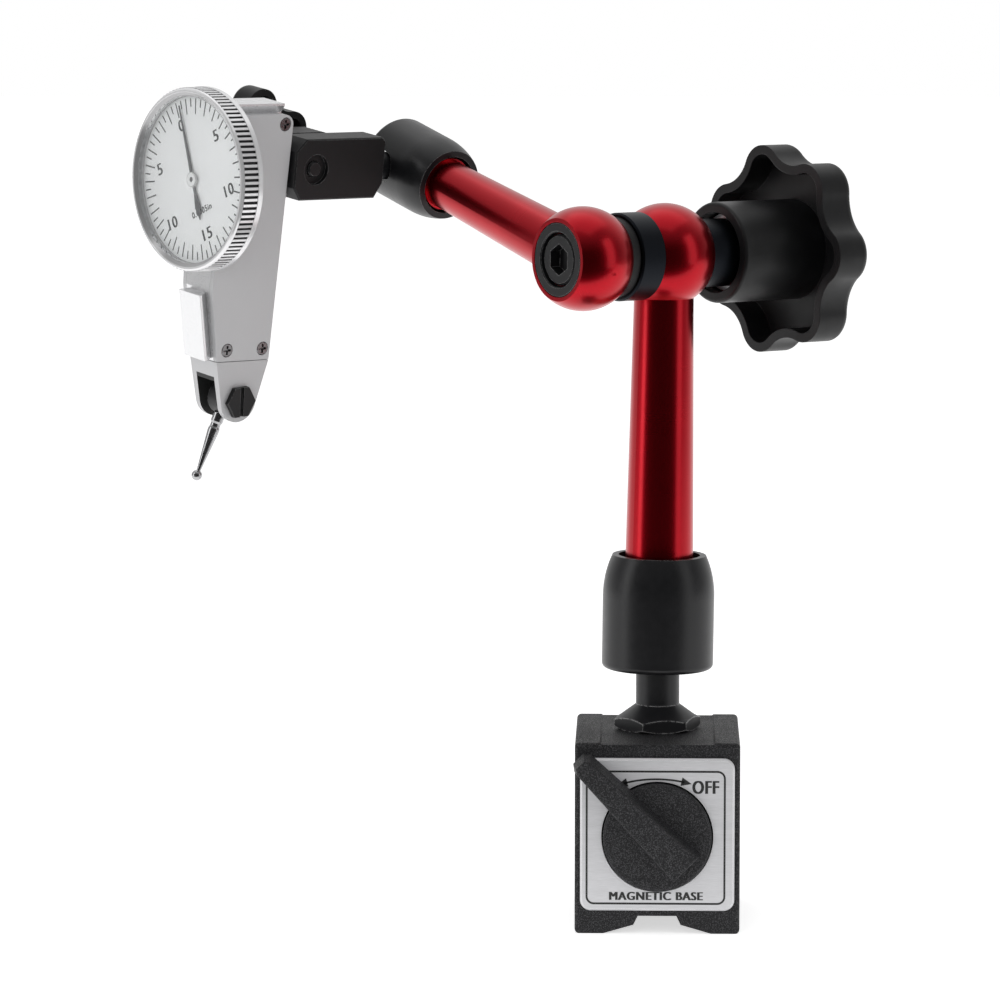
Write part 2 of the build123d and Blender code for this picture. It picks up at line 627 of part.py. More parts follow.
def jaw(side):
    """One clamp jaw: side +1 is the front jaw and -1 the rear one."""
    low = JAW_RISE - JAW_HEIGHT / 2
    high = JAW_RISE + JAW_HEIGHT / 2
    end = JAW_START + JAW_LENGTH
    outline = Polyline(
        (0, low, JAW_START + JAW_BEVEL), (0, low + JAW_BEVEL * 1.6, JAW_START), (0, high - 0.8, JAW_START),
        (0, high, JAW_START + 0.8), (0, high, end - JAW_CORNER), (0, high - JAW_CORNER, end),
        (0, low + JAW_CORNER, end), (0, low, end - JAW_CORNER * 0.7), close=True)
    body = extrude(make_face(outline), JAW_HALF_THICK - JAW_SLIT / 2, dir=(1, 0, 0))
    body = chamfer(body.faces().sort_by(Axis.X)[-1].edges(), 0.25)
    body = Pos(JAW_SLIT / 2, 0, 0) * body
    body -= rod(UPPER_STEM + RUN_FIT, JAW_START - 1, JAW_START + STEM_GRIP)
    body -= back_rail(SLIDE_FIT, low - 1, high + 1)
    body -= along_x(0, JAW_RISE, CLAMP_SCREW_Z) * rod(CLAMP_SCREW + SLIDE_FIT, -1, JAW_HALF_THICK + 1)
    if side > 0:
        spot = along_x(JAW_HALF_THICK, JAW_RISE, CLAMP_SCREW_Z)
        return INDICATOR * (body - spot * rod(CLAMP_RECESS, -CLAMP_RECESS_DEPTH, 1))
    slope = Polyline(
        (-1, high + 1, JAW_START + 11), (-1, high, JAW_START + 9.5), (-1, high - 2.6, JAW_START - 1),
        (-1, high + 1, JAW_START - 1), close=True)
    body -= extrude(make_face(slope), JAW_HALF_THICK + 2, dir=(1, 0, 0))
    return INDICATOR * mirror(body, Plane.YZ)


def clamp_screw():
    front = JAW_HALF_THICK - LOOSE_FIT
    tail = JAW_HALF_THICK + CLAMP_KNOB_GAP + CLAMP_HUB_LENGTH + 2.5
    body = chamfer(rod(CLAMP_SCREW, -tail, front).faces().sort_by(Axis.Z)[-1].edges(), 0.3)
    return INDICATOR * along_x(0, JAW_RISE, CLAMP_SCREW_Z) * body


def clamp_knob():
    low = JAW_HALF_THICK + CLAMP_KNOB_GAP
    front = low + CLAMP_HUB_LENGTH
    cap = star_cap(CLAMP_STAR, front, CLAMP_STAR_DEPTH, 0.7, 1.1)
    hub = rod(CLAMP_HUB_RADIUS, low, front + CLAMP_STAR_DEPTH - CLAMP_STAR["wall"] + 0.3)
    body = hub + cap - rod(CLAMP_SCREW + RUN_FIT, low - 1, front + 3)
    return CLAMP_KNOB * body


def upper_stud():
    body = Sphere(UPPER_BALL) + turned([
        (0, 0), (UPPER_STEM, 0), (UPPER_STEM, UPPER_COLLAR_START), (UPPER_COLLAR_RADIUS, UPPER_COLLAR_START + 0.6),
        (UPPER_COLLAR_RADIUS, JAW_START - 0.15), (UPPER_STEM, JAW_START - 0.15),
        (UPPER_STEM, JAW_START + STEM_GRIP - LOOSE_FIT), (0, JAW_START + STEM_GRIP - LOOSE_FIT)])
    return INDICATOR * body


# ================================================================ indicator body
def body_taper():
    return (BODY_HALF_TOP - BODY_HALF_SEAM) / (BODY_TOP - SEAM)


def half_width(y):
    """Half the body's width at a height."""
    return BODY_HALF_SEAM + body_taper() * (y - SEAM)


def tapered_core(inset):
    """The space between the body's two sides, less an inset from each."""
    low = 2 * SEAM
    high = 2 * BODY_TOP
    foot = half_width(low) - inset
    head = half_width(high) - inset
    face = make_face(Polyline((-foot, low), (foot, low), (head, high), (-head, high), close=True))
    return extrude(face, 2 * BODY_FRONT)


def body_profile():
    """The side outline of the case above the seam."""
    outline = Polyline(
        (0, BODY_TOP, BODY_BACK), (0, BODY_TOP, BODY_FRONT), (0, FRONT_BREAK, BODY_FRONT),
        (0, SEAM, SEAM_FRONT), (0, SEAM, BODY_BACK), close=True)
    slab = extrude(make_face(outline), 2 * BODY_HALF_TOP, dir=(1, 0, 0), both=True)
    back_edge = slab.edges().filter_by(Axis.X).group_by(Axis.Z)[0].sort_by(Axis.Y)[-1]
    return fillet(back_edge, BODY_CORNER)


def screw_spots(side):
    """Where each side's cover screws stand: two at the seam and one at the top corner."""
    places = ((BODY_TOP - 1.8, BODY_BACK + 1.8), (SEAM + 2.1, BODY_BACK + 1.7), (SEAM + 2.1, SEAM_FRONT - 2.1))
    tilt = degrees(atan2(body_taper(), 1))
    spots = [along_x(half_width(y), y, z) * Rot(0, -tilt, 0) for y, z in places]
    if side > 0:
        return spots
    return [Rot(0, 180, 0) * Pos(0, 0, -2 * z) * spot for spot, (y, z) in zip(spots, places)]


def case():
    return body_profile() & tapered_core(0)


def side_cover(side):
    half = block((0, -100, 0), (100, 100, 100)) if side > 0 else block((-100, -100, 0), (0, 100, 100))
    cover = (case() - tapered_core(COVER_PLATE)) & half
    for spot in screw_spots(side):
        cover -= spot * rod(SCREW_HEAD_RADIUS, -SCREW_HEAD_DEPTH, 1)
        cover -= spot * rod(SCREW_SHANK_RADIUS + SLIDE_FIT, -2, 1)
    cover -= along_x(0, DIAL_Y, PIVOT_Z) * rod(JEWEL_RADIUS, -jewel_reach(), jewel_reach())
    return INDICATOR * cover


def jewel_reach():
    """How far the crown wheel's jewels reach from the middle plane, into blind holes in the covers."""
    return half_width(DIAL_Y) - COVER_PLATE / 2


def cover_plate_screws():
    screw = rod(SCREW_HEAD_RADIUS - SEAT_GAP, -SCREW_HEAD_DEPTH + SEAT_GAP, 0)
    screw = chamfer(screw.faces().sort_by(Axis.Z)[-1].edges(), 0.15)
    screw += rod(SCREW_SHANK_RADIUS, -SCREW_LENGTH, -SCREW_HEAD_DEPTH + SEAT_GAP)
    screw -= cross_recess(0.85, 0.45)
    return [INDICATOR * spot * screw for side in (1, -1) for spot in screw_spots(side)]


def indicator_frame():
    frame = case() & tapered_core(COVER_PLATE + SEAT_GAP)
    pocket = make_face(Polyline(
        (0, BODY_TOP - 3.6, BODY_BACK + WALL), (0, BODY_TOP - 3.6, BODY_FRONT - WALL),
        (0, FRONT_BREAK, BODY_FRONT - WALL), (0, SEAM + 4, SEAM_FRONT - WALL + 0.6),
        (0, SEAM + 4, BODY_BACK + WALL), close=True))
    frame -= extrude(pocket, 2 * BODY_HALF_TOP, dir=(1, 0, 0), both=True)
    frame -= lever_passage()
    frame += Pos(0, DIAL_Y, 0) * rod(SEAT_RADIUS, BODY_FRONT, SEAT_FRONT)
    frame -= Pos(0, DIAL_Y, 0) * rod(JEWEL_RADIUS, BODY_FRONT - WALL - 1, SEAT_FRONT + 1)
    frame += back_rail()
    top = rail(RAIL_HEIGHT, RAIL_NECK / 2, RAIL_WIDTH / 2, BODY_BACK + 0.6, BODY_FRONT - 0.3)
    frame += Pos(0, BODY_TOP, 0) * placed((0, 0, 0), (-1, 0, 0), (0, 1, 0)) * top
    slant = atan2(BODY_FRONT - SEAM_FRONT, FRONT_BREAK - SEAM)
    front = rail(RAIL_HEIGHT + 0.3, RAIL_NECK / 2, RAIL_WIDTH / 2, -FRONT_RAIL_LENGTH - FRONT_RAIL_GAP, -FRONT_RAIL_GAP)
    frame += Pos(0, FRONT_BREAK, BODY_FRONT) * Rot(degrees(slant), 0, 0) * front
    for side in (1, -1):
        for spot in screw_spots(side):
            frame -= spot * rod(SCREW_SHANK_RADIUS + SEAT_GAP, -SCREW_LENGTH - LOOSE_FIT, 0)
    for side in (1, -1):
        frame -= nose_dowel(side, SLIDE_FIT / 2)
    return INDICATOR * frame


def lever_passage():
    half = LEVER_PASSAGE / 2
    return block((-FORK_SLOT / 2, FORK_TOP, PIVOT_Z - half), (FORK_SLOT / 2, SEAM + 5, PIVOT_Z + half))


def nose_dowel(side, play):
    """A dowel from the nose into the frame, beside the lever's passage."""
    z = PIVOT_Z + side * (LEVER_PASSAGE / 2 + 1.3)
    return Pos(0, SEAM, z) * placed((0, 0, 0), (1, 0, 0), (0, 1, 0)) * rod(0.8 + play, -0.5, 2.2 + 2 * play)


def nose():
    body = extrude(tangent_nose(SEAM - SEAM_GAP), 2 * BODY_HALF_TOP, dir=(1, 0, 0), both=True) & tapered_core(0)
    body -= block((-FORK_SLOT / 2, PIVOT_Y - 2 * NOSE_ROUND, 0), (FORK_SLOT / 2, FORK_TOP, 100))
    body -= lever_passage()
    body -= along_x(0, PIVOT_Y, PIVOT_Z) * rod(PIVOT_RADIUS + RUN_FIT, -2 * NOSE_ROUND, 2 * NOSE_ROUND)
    for side in (1, -1):
        body += nose_dowel(side, 0)
    return INDICATOR * body


def tangent_nose(top):
    """The nose's side outline: straight flanks that run into its round end."""
    def touch(z, side):
        away = Vector(0, top - PIVOT_Y, z - PIVOT_Z)
        lead = atan2(away.Z, away.Y) + side * acos(NOSE_ROUND / away.length)
        return (0, PIVOT_Y + NOSE_ROUND * cos(lead), PIVOT_Z + NOSE_ROUND * sin(lead))
    back = touch(BODY_BACK, -1)
    front = touch(SEAM_FRONT, 1)
    tip = (0, PIVOT_Y - NOSE_ROUND, PIVOT_Z)
    flanks = Polyline(back, (0, top, BODY_BACK), (0, top, SEAM_FRONT), front)
    return make_face([*flanks.edges(), ThreePointArc(front, tip, back)])


def pivot_screw():
    half = nose_half_width()
    head = Rot(0, 0, 30) * hexagon(PIVOT_HEX, half + SEAT_GAP, half + PIVOT_HEAD)
    head -= block((-PIVOT_HEX, -0.4, half + PIVOT_HEAD - 0.45), (PIVOT_HEX, 0.4, half + PIVOT_HEAD + 1))
    head = Rot(0, 0, 4) * head
    return INDICATOR * along_x(0, PIVOT_Y, PIVOT_Z) * (head + rod(PIVOT_RADIUS, -half, half + 0.3))


def nose_half_width():
    """The nose's half width at the top of the pivot screw's head."""
    return half_width(PIVOT_Y + PIVOT_HEX / sqrt(3))


# ================================================================ bezel, dial and movement
def bezel():
    low = BODY_FRONT + BEZEL_BACK_GAP
    knurl_end = BEZEL_FRONT - BEZEL_LIP
    step = 2 * pi / KNURLS
    points = []
    for index in range(KNURLS):
        for share, radius in ((0.0, BEZEL_RADIUS), (0.45, BEZEL_RADIUS), (0.6, BEZEL_RADIUS - KNURL_DEPTH),
                              (0.85, BEZEL_RADIUS - KNURL_DEPTH)):
            angle = (index + share) * step
            points.append((radius * cos(angle), radius * sin(angle)))
    knurl = make_face(Polyline(*points, close=True))
    body = Pos(0, 0, low + BEZEL_FLANGE) * extrude(knurl, knurl_end - low - BEZEL_FLANGE)
    body += ring(BEZEL_RADIUS + 0.1, SEAT_RADIUS, low, low + BEZEL_FLANGE)
    body += turned([
        (DIAL_RADIUS, knurl_end), (BEZEL_RADIUS - 0.1, knurl_end), (BEZEL_RADIUS - 0.25, BEZEL_FRONT - 0.2),
        (BEZEL_RADIUS - 0.5, BEZEL_FRONT), (DIAL_RADIUS + 0.75, BEZEL_FRONT), (DIAL_RADIUS, knurl_end)])
    body -= rod(SEAT_RADIUS + RUN_FIT, low - 1, SEAT_FRONT + LOOSE_FIT)
    body -= rod(DIAL_RADIUS + SEAT_GAP, SEAT_FRONT + LOOSE_FIT, BEZEL_FRONT + 1)
    return DIAL * body


def dial_face():
    low = SEAT_FRONT + LOOSE_FIT + SEAT_GAP
    return DIAL * ring(DIAL_RADIUS, ARBOR_RADIUS + LOOSE_FIT, low, low + DIAL_THICK)


def crystal():
    low = BEZEL_FRONT - CRYSTAL_SINK
    rim = low + CRYSTAL_THICK
    radius = (DIAL_RADIUS ** 2 + CRYSTAL_DOME ** 2) / (2 * CRYSTAL_DOME)
    body = rod(DIAL_RADIUS, low, rim + CRYSTAL_DOME)
    return DIAL * (body & Pos(0, 0, rim + CRYSTAL_DOME - radius) * Sphere(radius))


def pointer():
    low = SEAT_FRONT + 2 * LOOSE_FIT + DIAL_THICK
    blade = make_face(Polyline(
        (-POINTER_TIP_HALF, POINTER_TIP), (POINTER_TIP_HALF, POINTER_TIP), (POINTER_WAIST, 0),
        (0.3, -2.5), (0.75, -5.2), (0, -POINTER_TAIL), (-0.75, -5.2), (-0.3, -2.5),
        (-POINTER_WAIST, 0), close=True))
    body = Pos(0, 0, low) * extrude(blade, POINTER_THICK)
    body += ring(POINTER_BOSS, ARBOR_RADIUS + SEAT_GAP, low, low + POINTER_BOSS_HEIGHT)
    body -= rod(ARBOR_RADIUS + SEAT_GAP, low - 1, low + 1)
    return DIAL * Rot(0, 0, POINTER_TURN) * body


def pointer_arbor():
    mesh = PIVOT_Z + CROWN_RADIUS
    tip = SEAT_FRONT + 2 * LOOSE_FIT + DIAL_THICK + 0.4
    body = rod(ARBOR_RADIUS, mesh - 1.4, tip) + rod(CENTRE_PINION, mesh - 1.0, mesh + 1.0)
    return DIAL * body


def crown_wheel():
    """The crown wheel with its pinion and arbor, on the axis across the case."""
    near = CENTRE_PINION + MESH_GAP
    end = jewel_reach() - SLIDE_FIT
    body = rod(ARBOR_RADIUS, -end, end)
    body += rod(CROWN_RADIUS, -near - 1.1, -near - 0.5)
    body += ring(CROWN_RADIUS, CROWN_RADIUS - 0.6, -near - 0.5, -near)
    body += rod(CROWN_PINION, 1.2, 2.8)
    return INDICATOR * along_x(0, DIAL_Y, PIVOT_Z) * body


def jewels():
    """Bearing jewels: two for the crown wheel's arbor and two for the pointer's."""
    bush = ring(JEWEL_RADIUS - SEAT_GAP, ARBOR_RADIUS + RUN_FIT, 0, 1.0)
    side = jewel_reach() - SEAT_GAP
    pieces = [DIAL * Pos(0, 0, BODY_FRONT - WALL) * bush, DIAL * Pos(0, 0, SEAT_FRONT - 1.1) * bush]
    pieces.append(INDICATOR * along_x(side - 1.0, DIAL_Y, PIVOT_Z) * bush)
    pieces.append(INDICATOR * along_x(-side, DIAL_Y, PIVOT_Z) * bush)
    return pieces


def lever_sector():
    """The measuring lever: hub, arm and the toothed sector that drives the crown wheel's pinion."""
    reach = DIAL_Y - PIVOT_Y - CROWN_PINION - MESH_GAP
    inner = 1.45
    body = ring(HUB_RADIUS - 0.4, PIVOT_RADIUS + RUN_FIT, inner, inner + SECTOR_THICK)
    strip = block((HUB_RADIUS - 1.2, -1.1, inner), (reach - 3, 1.1, inner + SECTOR_THICK))
    fan = make_face(Polyline((reach - 12, 0, 0), (reach + 2, -2.6, 0), (reach + 2, 2.6, 0), close=True))
    sector = Pos(0, 0, inner) * extrude(fan, SECTOR_THICK) & rod(reach, 0, 5)
    body += strip + sector
    return INDICATOR * along_x(0, PIVOT_Y, PIVOT_Z) * body


def stylus_frame():
    """A frame at the pivot whose Z runs down the stylus, with X across the case."""
    lead = radians(STYLUS_TURN)
    return INDICATOR * placed((0, PIVOT_Y, PIVOT_Z), (1, 0, 0), (0, -cos(lead), sin(lead)))


def stylus_hub():
    drum = Rot(0, 90, 0) * ring(HUB_RADIUS, PIVOT_RADIUS + RUN_FIT, -1.3, 1.3)
    return stylus_frame() * (drum - rod(STYLUS_SCREW, HUB_RADIUS - 1.6, HUB_RADIUS + 1))


def stylus():
    top = HUB_RADIUS + 0.05
    ball = STYLUS_LENGTH
    body = turned([
        (0, top - 1.4), (STYLUS_SCREW - SEAT_GAP, top - 1.4), (STYLUS_SCREW - SEAT_GAP, top), (1.15, top),
        (1.15, top + 1.6), (0.95, top + 2.0), (0.95, top + 2.6), (1.1, top + 3.0), (1.1, top + 3.6),
        (0.38, ball - 0.9), (0.38, ball), (0, ball)])
    return stylus_frame() * (body + Pos(0, 0, ball) * Sphere(STYLUS_BALL))


# ================================================================ the whole assembly
def assembly():
    nodes = dict(base_pieces())
    nodes.update({
        "magnet_rotor": magnet_rotor(),
        "switch_tie_screw": tie_screw(),
        "switch_knob": switch_knob(),
        "label_plate": label_plate(),
        "base_back_cover": back_cover(),
        "base_cover_screws": cover_screws(),
        "lower_ball_stud": lower_stud(),
        "lower_sleeve": LOWER_SOCKET * sleeve(LOWER_SLEEVE, LOWER_BALL, LOWER_TUBE_END, STUD_STEM, NOTCH_TURN),
        "lower_arm": lower_arm(),
        "lower_push_pin": LOWER_ARM * Pos(0, 0, LOWER_LENGTH) * Rot(180, 0, 0) * push_pin(LOWER_BALL, LOWER_LENGTH),
        "elbow_collar": elbow_collar(),
        "elbow_washer": elbow_washer(),
        "draw_bolt": draw_bolt(),
        "lower_wedge": wedge(0),
        "upper_wedge": wedge(EYE_SPACING),
        "elbow_end_ring": end_ring(),
        "knob_boss": knob_boss(),
        "knob_washer": knob_washer(),
        "main_knob": main_knob(),
        "main_knob_insert": knob_insert(),
        "upper_arm": upper_arm(),
        "upper_push_pin": UPPER_ARM * push_pin(UPPER_BALL, UPPER_LENGTH),
        "upper_sleeve": UPPER_SOCKET * sleeve(
            UPPER_SLEEVE, UPPER_BALL, UPPER_TUBE_END, UPPER_STEM, UPPER_NOTCH_TURN),
        "upper_ball_stud": upper_stud(),
        "clamp_front_jaw": jaw(1),
        "clamp_rear_jaw": jaw(-1),
        "clamp_screw": clamp_screw(),
        "clamp_knob": clamp_knob(),
        "indicator_frame": indicator_frame(),
        "indicator_right_cover": side_cover(1),
        "indicator_left_cover": side_cover(-1),
        "indicator_cover_screws": cover_plate_screws(),
        "indicator_nose": nose(),
        "pivot_screw": pivot_screw(),
        "bezel": bezel(),
        "dial_face": dial_face(),
        "crystal": crystal(),
        "pointer": pointer(),
        "pointer_arbor": pointer_arbor(),
        "crown_wheel": crown_wheel(),
        "jewel_bearings": jewels(),
        "lever_sector": lever_sector(),
        "stylus_hub": stylus_hub(),
        "stylus": stylus(),
    })
    return nodes


def main():
    os.makedirs("parts", exist_ok=True)
    for name, shape in assembly().items():
        solid = Compound(children=shape) if isinstance(shape, list) else shape
        export_step(solid, f"parts/{name}.step")


if __name__ == "__main__":
    main()
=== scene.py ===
import json
import math

import bmesh
import bpy
from bpy.props import FloatProperty, FloatVectorProperty, IntProperty, PointerProperty
from mathutils import Matrix, Vector


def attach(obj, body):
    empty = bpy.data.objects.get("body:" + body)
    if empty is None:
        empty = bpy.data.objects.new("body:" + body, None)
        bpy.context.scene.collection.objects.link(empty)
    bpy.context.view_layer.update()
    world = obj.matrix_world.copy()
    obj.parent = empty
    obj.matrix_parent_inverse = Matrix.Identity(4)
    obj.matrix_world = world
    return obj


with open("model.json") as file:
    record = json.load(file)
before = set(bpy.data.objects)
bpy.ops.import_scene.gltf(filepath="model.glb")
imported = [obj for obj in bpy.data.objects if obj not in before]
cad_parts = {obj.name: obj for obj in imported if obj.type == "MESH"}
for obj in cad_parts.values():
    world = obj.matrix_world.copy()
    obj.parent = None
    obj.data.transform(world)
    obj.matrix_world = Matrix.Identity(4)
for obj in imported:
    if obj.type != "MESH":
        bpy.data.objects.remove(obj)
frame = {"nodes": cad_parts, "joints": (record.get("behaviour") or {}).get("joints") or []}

bl_info = {
    "name": "Dial Indicator on Magnetic Base",
    "version": (1, 0, 0),
    "blender": (4, 5, 0),
    "location": "3D View > Sidebar > Indicator",
    "description": "Finishes, printed markings and studio for a dial test indicator on a jointed magnetic stand",
    "category": "Add Mesh",
}

MM = 0.001
NODES = frame["nodes"]
JOINTS = {joint["name"]: joint for joint in frame["joints"]}


# ---------------------------------------------------------------- places in the model
def axis_of(joint):
    return Vector(JOINTS[joint]["axis"]).normalized()


def point_of(joint):
    return Vector(JOINTS[joint]["pos_m"])


def frame_at(origin, up, outward):
    """A place whose Z looks outward, whose Y is as near up as it can be, with its origin on a surface."""
    z = outward.normalized()
    x = up.cross(z).normalized()
    turned = Matrix((x, z.cross(x), z)).transposed().to_4x4()
    return Matrix.Translation(origin) @ turned


def outermost(node, origin, direction):
    """How far a part reaches from a point in a direction, in metres."""
    return max((vertex.co - origin).dot(direction) for vertex in NODES[node].data.vertices)


# ---------------------------------------------------------------- shader expressions
class Flow:
    """A socket in a material. Arithmetic on a value adds its Math nodes."""

    def __init__(self, sheet, socket):
        self.sheet = sheet
        self.socket = socket

    def math(self, operation, first, second):
        return self.sheet.add("ShaderNodeMath", {"operation": operation}, {0: first, 1: second})

    def __add__(self, other):
        return self.math("ADD", self, other)

    def __radd__(self, other):
        return self.math("ADD", other, self)

    def __sub__(self, other):
        return self.math("SUBTRACT", self, other)

    def __rsub__(self, other):
        return self.math("SUBTRACT", other, self)

    def __mul__(self, other):
        return self.math("MULTIPLY", self, other)

    def __rmul__(self, other):
        return self.math("MULTIPLY", other, self)

    def __truediv__(self, other):
        return self.math("DIVIDE", self, other)

    def __rtruediv__(self, other):
        return self.math("DIVIDE", other, self)


class Sheet:
    """The nodes of one material, or of the world."""

    def __init__(self, tree, clear=True):
        self.tree = tree
        if clear:
            tree.nodes.clear()

    @classmethod
    def of(cls, material):
        """The nodes that a material already has."""
        return cls(material.node_tree, clear=False)

    def add(self, kind, settings=None, inputs=None, output=0):
        """Adds a node, with its settings set before its sockets, and returns one of its outputs."""
        node = self.tree.nodes.new(kind)
        for name, value in (settings or {}).items():
            setattr(node, name, value)
        for name, value in (inputs or {}).items():
            self.feed(node.inputs[name], value)
        return Flow(self, node.outputs[output]) if node.outputs else node

    def feed(self, socket, value):
        if isinstance(value, Flow):
            self.tree.links.new(value.socket, socket)
        elif socket.type == "RGBA" and len(value) == 3:
            socket.default_value = (*value, 1.0)
        else:
            socket.default_value = value

    # what surfaces read
    def place(self):
        """Where a point of the surface is, in metres, moving with its part."""
        return self.add("ShaderNodeTexCoord", output="Object")

    def along(self, origin, direction):
        """How far a point lies from an origin along a direction, in metres."""
        offset = self.add("ShaderNodeVectorMath", {"operation": "SUBTRACT"}, {0: self.place(), 1: origin})
        return self.add("ShaderNodeVectorMath", {"operation": "DOT_PRODUCT"}, {0: offset, 1: direction}, "Value")

    def from_axis(self, origin, direction):
        """How far a point lies from an axis, in metres."""
        offset = self.add("ShaderNodeVectorMath", {"operation": "SUBTRACT"}, {0: self.place(), 1: origin})
        cross = self.add("ShaderNodeVectorMath", {"operation": "CROSS_PRODUCT"}, {0: offset, 1: direction})
        return self.add("ShaderNodeVectorMath", {"operation": "LENGTH"}, {0: cross}, "Value")

    def noise(self, grain, detail=3.0, rough=0.5, vector=None):
        """Noise from 0 to 1 with features about grain millimetres across."""
        inputs = {"Vector": vector or self.place(), "Scale": 1.0 / (grain * MM), "Detail": detail, "Roughness": rough}
        return self.add("ShaderNodeTexNoise", {}, inputs)

    def cells(self, grain, soft=0.6):
        """Rounded cells about grain millimetres across: 0 at their middles."""
        inputs = {"Vector": self.place(), "Scale": 1.0 / (grain * MM), "Smoothness": soft}
        return self.add("ShaderNodeTexVoronoi", {"feature": "SMOOTH_F1"}, inputs, "Distance")

    def lines(self, distance, grain, detail=4.0):
        """Fine parallel lines, grain millimetres apart, across a distance."""
        inputs = {"W": distance / (grain * MM), "Scale": 1.0, "Detail": detail}
        return self.add("ShaderNodeTexNoise", {"noise_dimensions": "1D"}, inputs)

    def edges(self, width, low=0.02, high=0.25):
        """1 on the part's sharp edges and 0 away from them; width is in millimetres."""
        rounded = self.add("ShaderNodeBevel", {"samples": 6}, {"Radius": width * MM})
        plain = self.add("ShaderNodeNewGeometry", output="Normal")
        dot = self.add("ShaderNodeVectorMath", {"operation": "DOT_PRODUCT"}, {0: rounded, 1: plain}, "Value")
        return self.spread(1 - dot, low, high)

    def spread(self, value, low, high, start=0.0, end=1.0):
        """A smooth step from start to end as the value goes from low to high."""
        inputs = {"Value": value, "From Min": low, "From Max": high, "To Min": start, "To Max": end}
        return self.add("ShaderNodeMapRange", {"interpolation_type": "SMOOTHSTEP"}, inputs)

    def mix(self, share, first, second):
        """A colour that goes from the first to the second as share goes from 0 to 1."""
        return self.add("ShaderNodeMix", {"data_type": "RGBA"}, {0: share, 6: first, 7: second}, 2)

    def bump(self, height, depth, strength=1.0, rounding=0.0):
        """Relief of depth millimetres, over edges rounded by so many millimetres."""
        inputs = {"Height": height, "Distance": depth * MM, "Strength": strength}
        if rounding:
            inputs["Normal"] = self.add("ShaderNodeBevel", {"samples": 4}, {"Radius": rounding * MM})
        return self.add("ShaderNodeBump", {}, inputs)


def finish(name, make, **sockets):
    """A material whose surface is make(sheet) laid over the given plain sockets."""
    material = bpy.data.materials.new(name)
    material.use_nodes = True
    sheet = Sheet(material.node_tree)
    inputs = dict(sockets)
    inputs.update(make(sheet))
    surface = sheet.add("ShaderNodeBsdfPrincipled", {}, inputs)
    sheet.add("ShaderNodeOutputMaterial", {}, {"Surface": surface})
    return material


def wear(material, *nodes):
    """Gives parts a material in place of the plain one they came with."""
    for name in nodes:
        mesh = NODES[name].data
        mesh.materials.clear()
        mesh.materials.append(material)


# ---------------------------------------------------------------- finishes
def pebbled_enamel(name, colour, grain, relief):
    """Thick black enamel with a pebbled skin."""
    def make(sheet):
        pebbles = sheet.cells(grain)
        fine = sheet.noise(grain * 0.45, 4.0, 0.6)
        height = pebbles * 0.7 + fine * 0.6
        # Painted glints: these brighter specks are mixed into the enamel's colour, and the same specks are also less
        # rough.
        painted_glints = sheet.spread(sheet.noise(grain * 0.7, 2.0, 0.6), 0.50, 0.62)
        dust = sheet.spread(sheet.noise(9.0, 5.0), 0.4, 0.75)
        worn = sheet.edges(0.35, 0.03, 0.5) * sheet.spread(fine, 0.42, 0.6)
        tone = sheet.mix(painted_glints * 0.8, colour, [3.5 * c + 0.03 for c in colour])
        tone = sheet.mix(worn * 0.2, tone, (0.10, 0.10, 0.10))
        return {
            "Base Color": tone,
            "Roughness": 0.62 - 0.24 * painted_glints + 0.08 * dust,
            "Normal": sheet.bump(height, relief, 1.0, 0.25),
        }
    return finish(name, make, **{"Specular IOR Level": 0.3})


def brushed_plate(name, colour):
    """Aluminium sheet brushed across, under a clear satin lacquer, with a painted highlight along its edges."""
    def make(sheet):
        height_up = sheet.along((0, 0, 0), (0, 0, 1))
        stretched = sheet.add("ShaderNodeVectorMath", {"operation": "MULTIPLY"}, {0: sheet.place(), 1: (0.04, 1, 1)})
        scratches = sheet.noise(0.09, 4.0, 0.65, stretched)
        broad = sheet.lines(height_up, 1.4)
        tone = sheet.mix(scratches * 0.8 + broad * 0.2, [0.55 * c for c in colour], colour)
        # Painted highlight: the plate's sharp edges are mixed towards near-white.
        rim = sheet.edges(0.35, 0.03, 0.2)
        return {
            "Base Color": sheet.mix(rim, tone, (0.95, 0.95, 0.96)),
            "Roughness": 0.34 + 0.2 * scratches,
            "Normal": sheet.bump(scratches, 0.006, 0.5, 0.15),
        }
    return finish(name, make, Metallic=0.35)


def black_oxide(name, colour, worn_colour, wear_width=0.22, wear_share=0.75, rough=0.40):
    """Blackened steel with a satin, slightly mottled skin and edges rubbed bright."""
    def make(sheet):
        mottle = sheet.noise(1.6, 5.0, 0.6)
        grit = sheet.noise(0.16, 3.0, 0.6)
        rubbed = sheet.edges(wear_width, 0.02, 0.13) * sheet.spread(sheet.noise(0.5, 4.0), 0.36, 0.52) * wear_share
        tone = sheet.mix(mottle, [0.75 * c for c in colour], [1.35 * c for c in colour])
        return {
            "Base Color": sheet.mix(rubbed, tone, worn_colour),
            "Metallic": 0.1 + 0.25 * rubbed,
            "Roughness": rough + 0.14 * mottle - 0.10 * rubbed + 0.06 * grit,
            "Normal": sheet.bump(grit, 0.008, 0.5, 0.12),
        }
    return finish(name, make, **{"Specular IOR Level": 0.42})


def red_anodised(name, colour, deep, origin, direction):
    """Turned aluminium, dyed deep red and sealed glossy."""
    def make(sheet):
        turning = sheet.lines(sheet.along(origin, direction), 0.12)
        cloud = sheet.noise(7.0, 3.0)
        grit = sheet.noise(0.10, 2.0)
        tone = sheet.mix(cloud * 0.55 + turning * 0.3, colour, deep)
        return {
            "Base Color": tone,
            "Roughness": 0.24 + 0.05 * cloud + 0.05 * turning,
            "Normal": sheet.bump(turning * 0.7 + grit * 0.3, 0.0012, 0.5, 0.18),
        }
    return finish(name, make, Metallic=1.0, **{"Coat Weight": 0.3, "Coat Roughness": 0.16, "Coat IOR": 1.4})


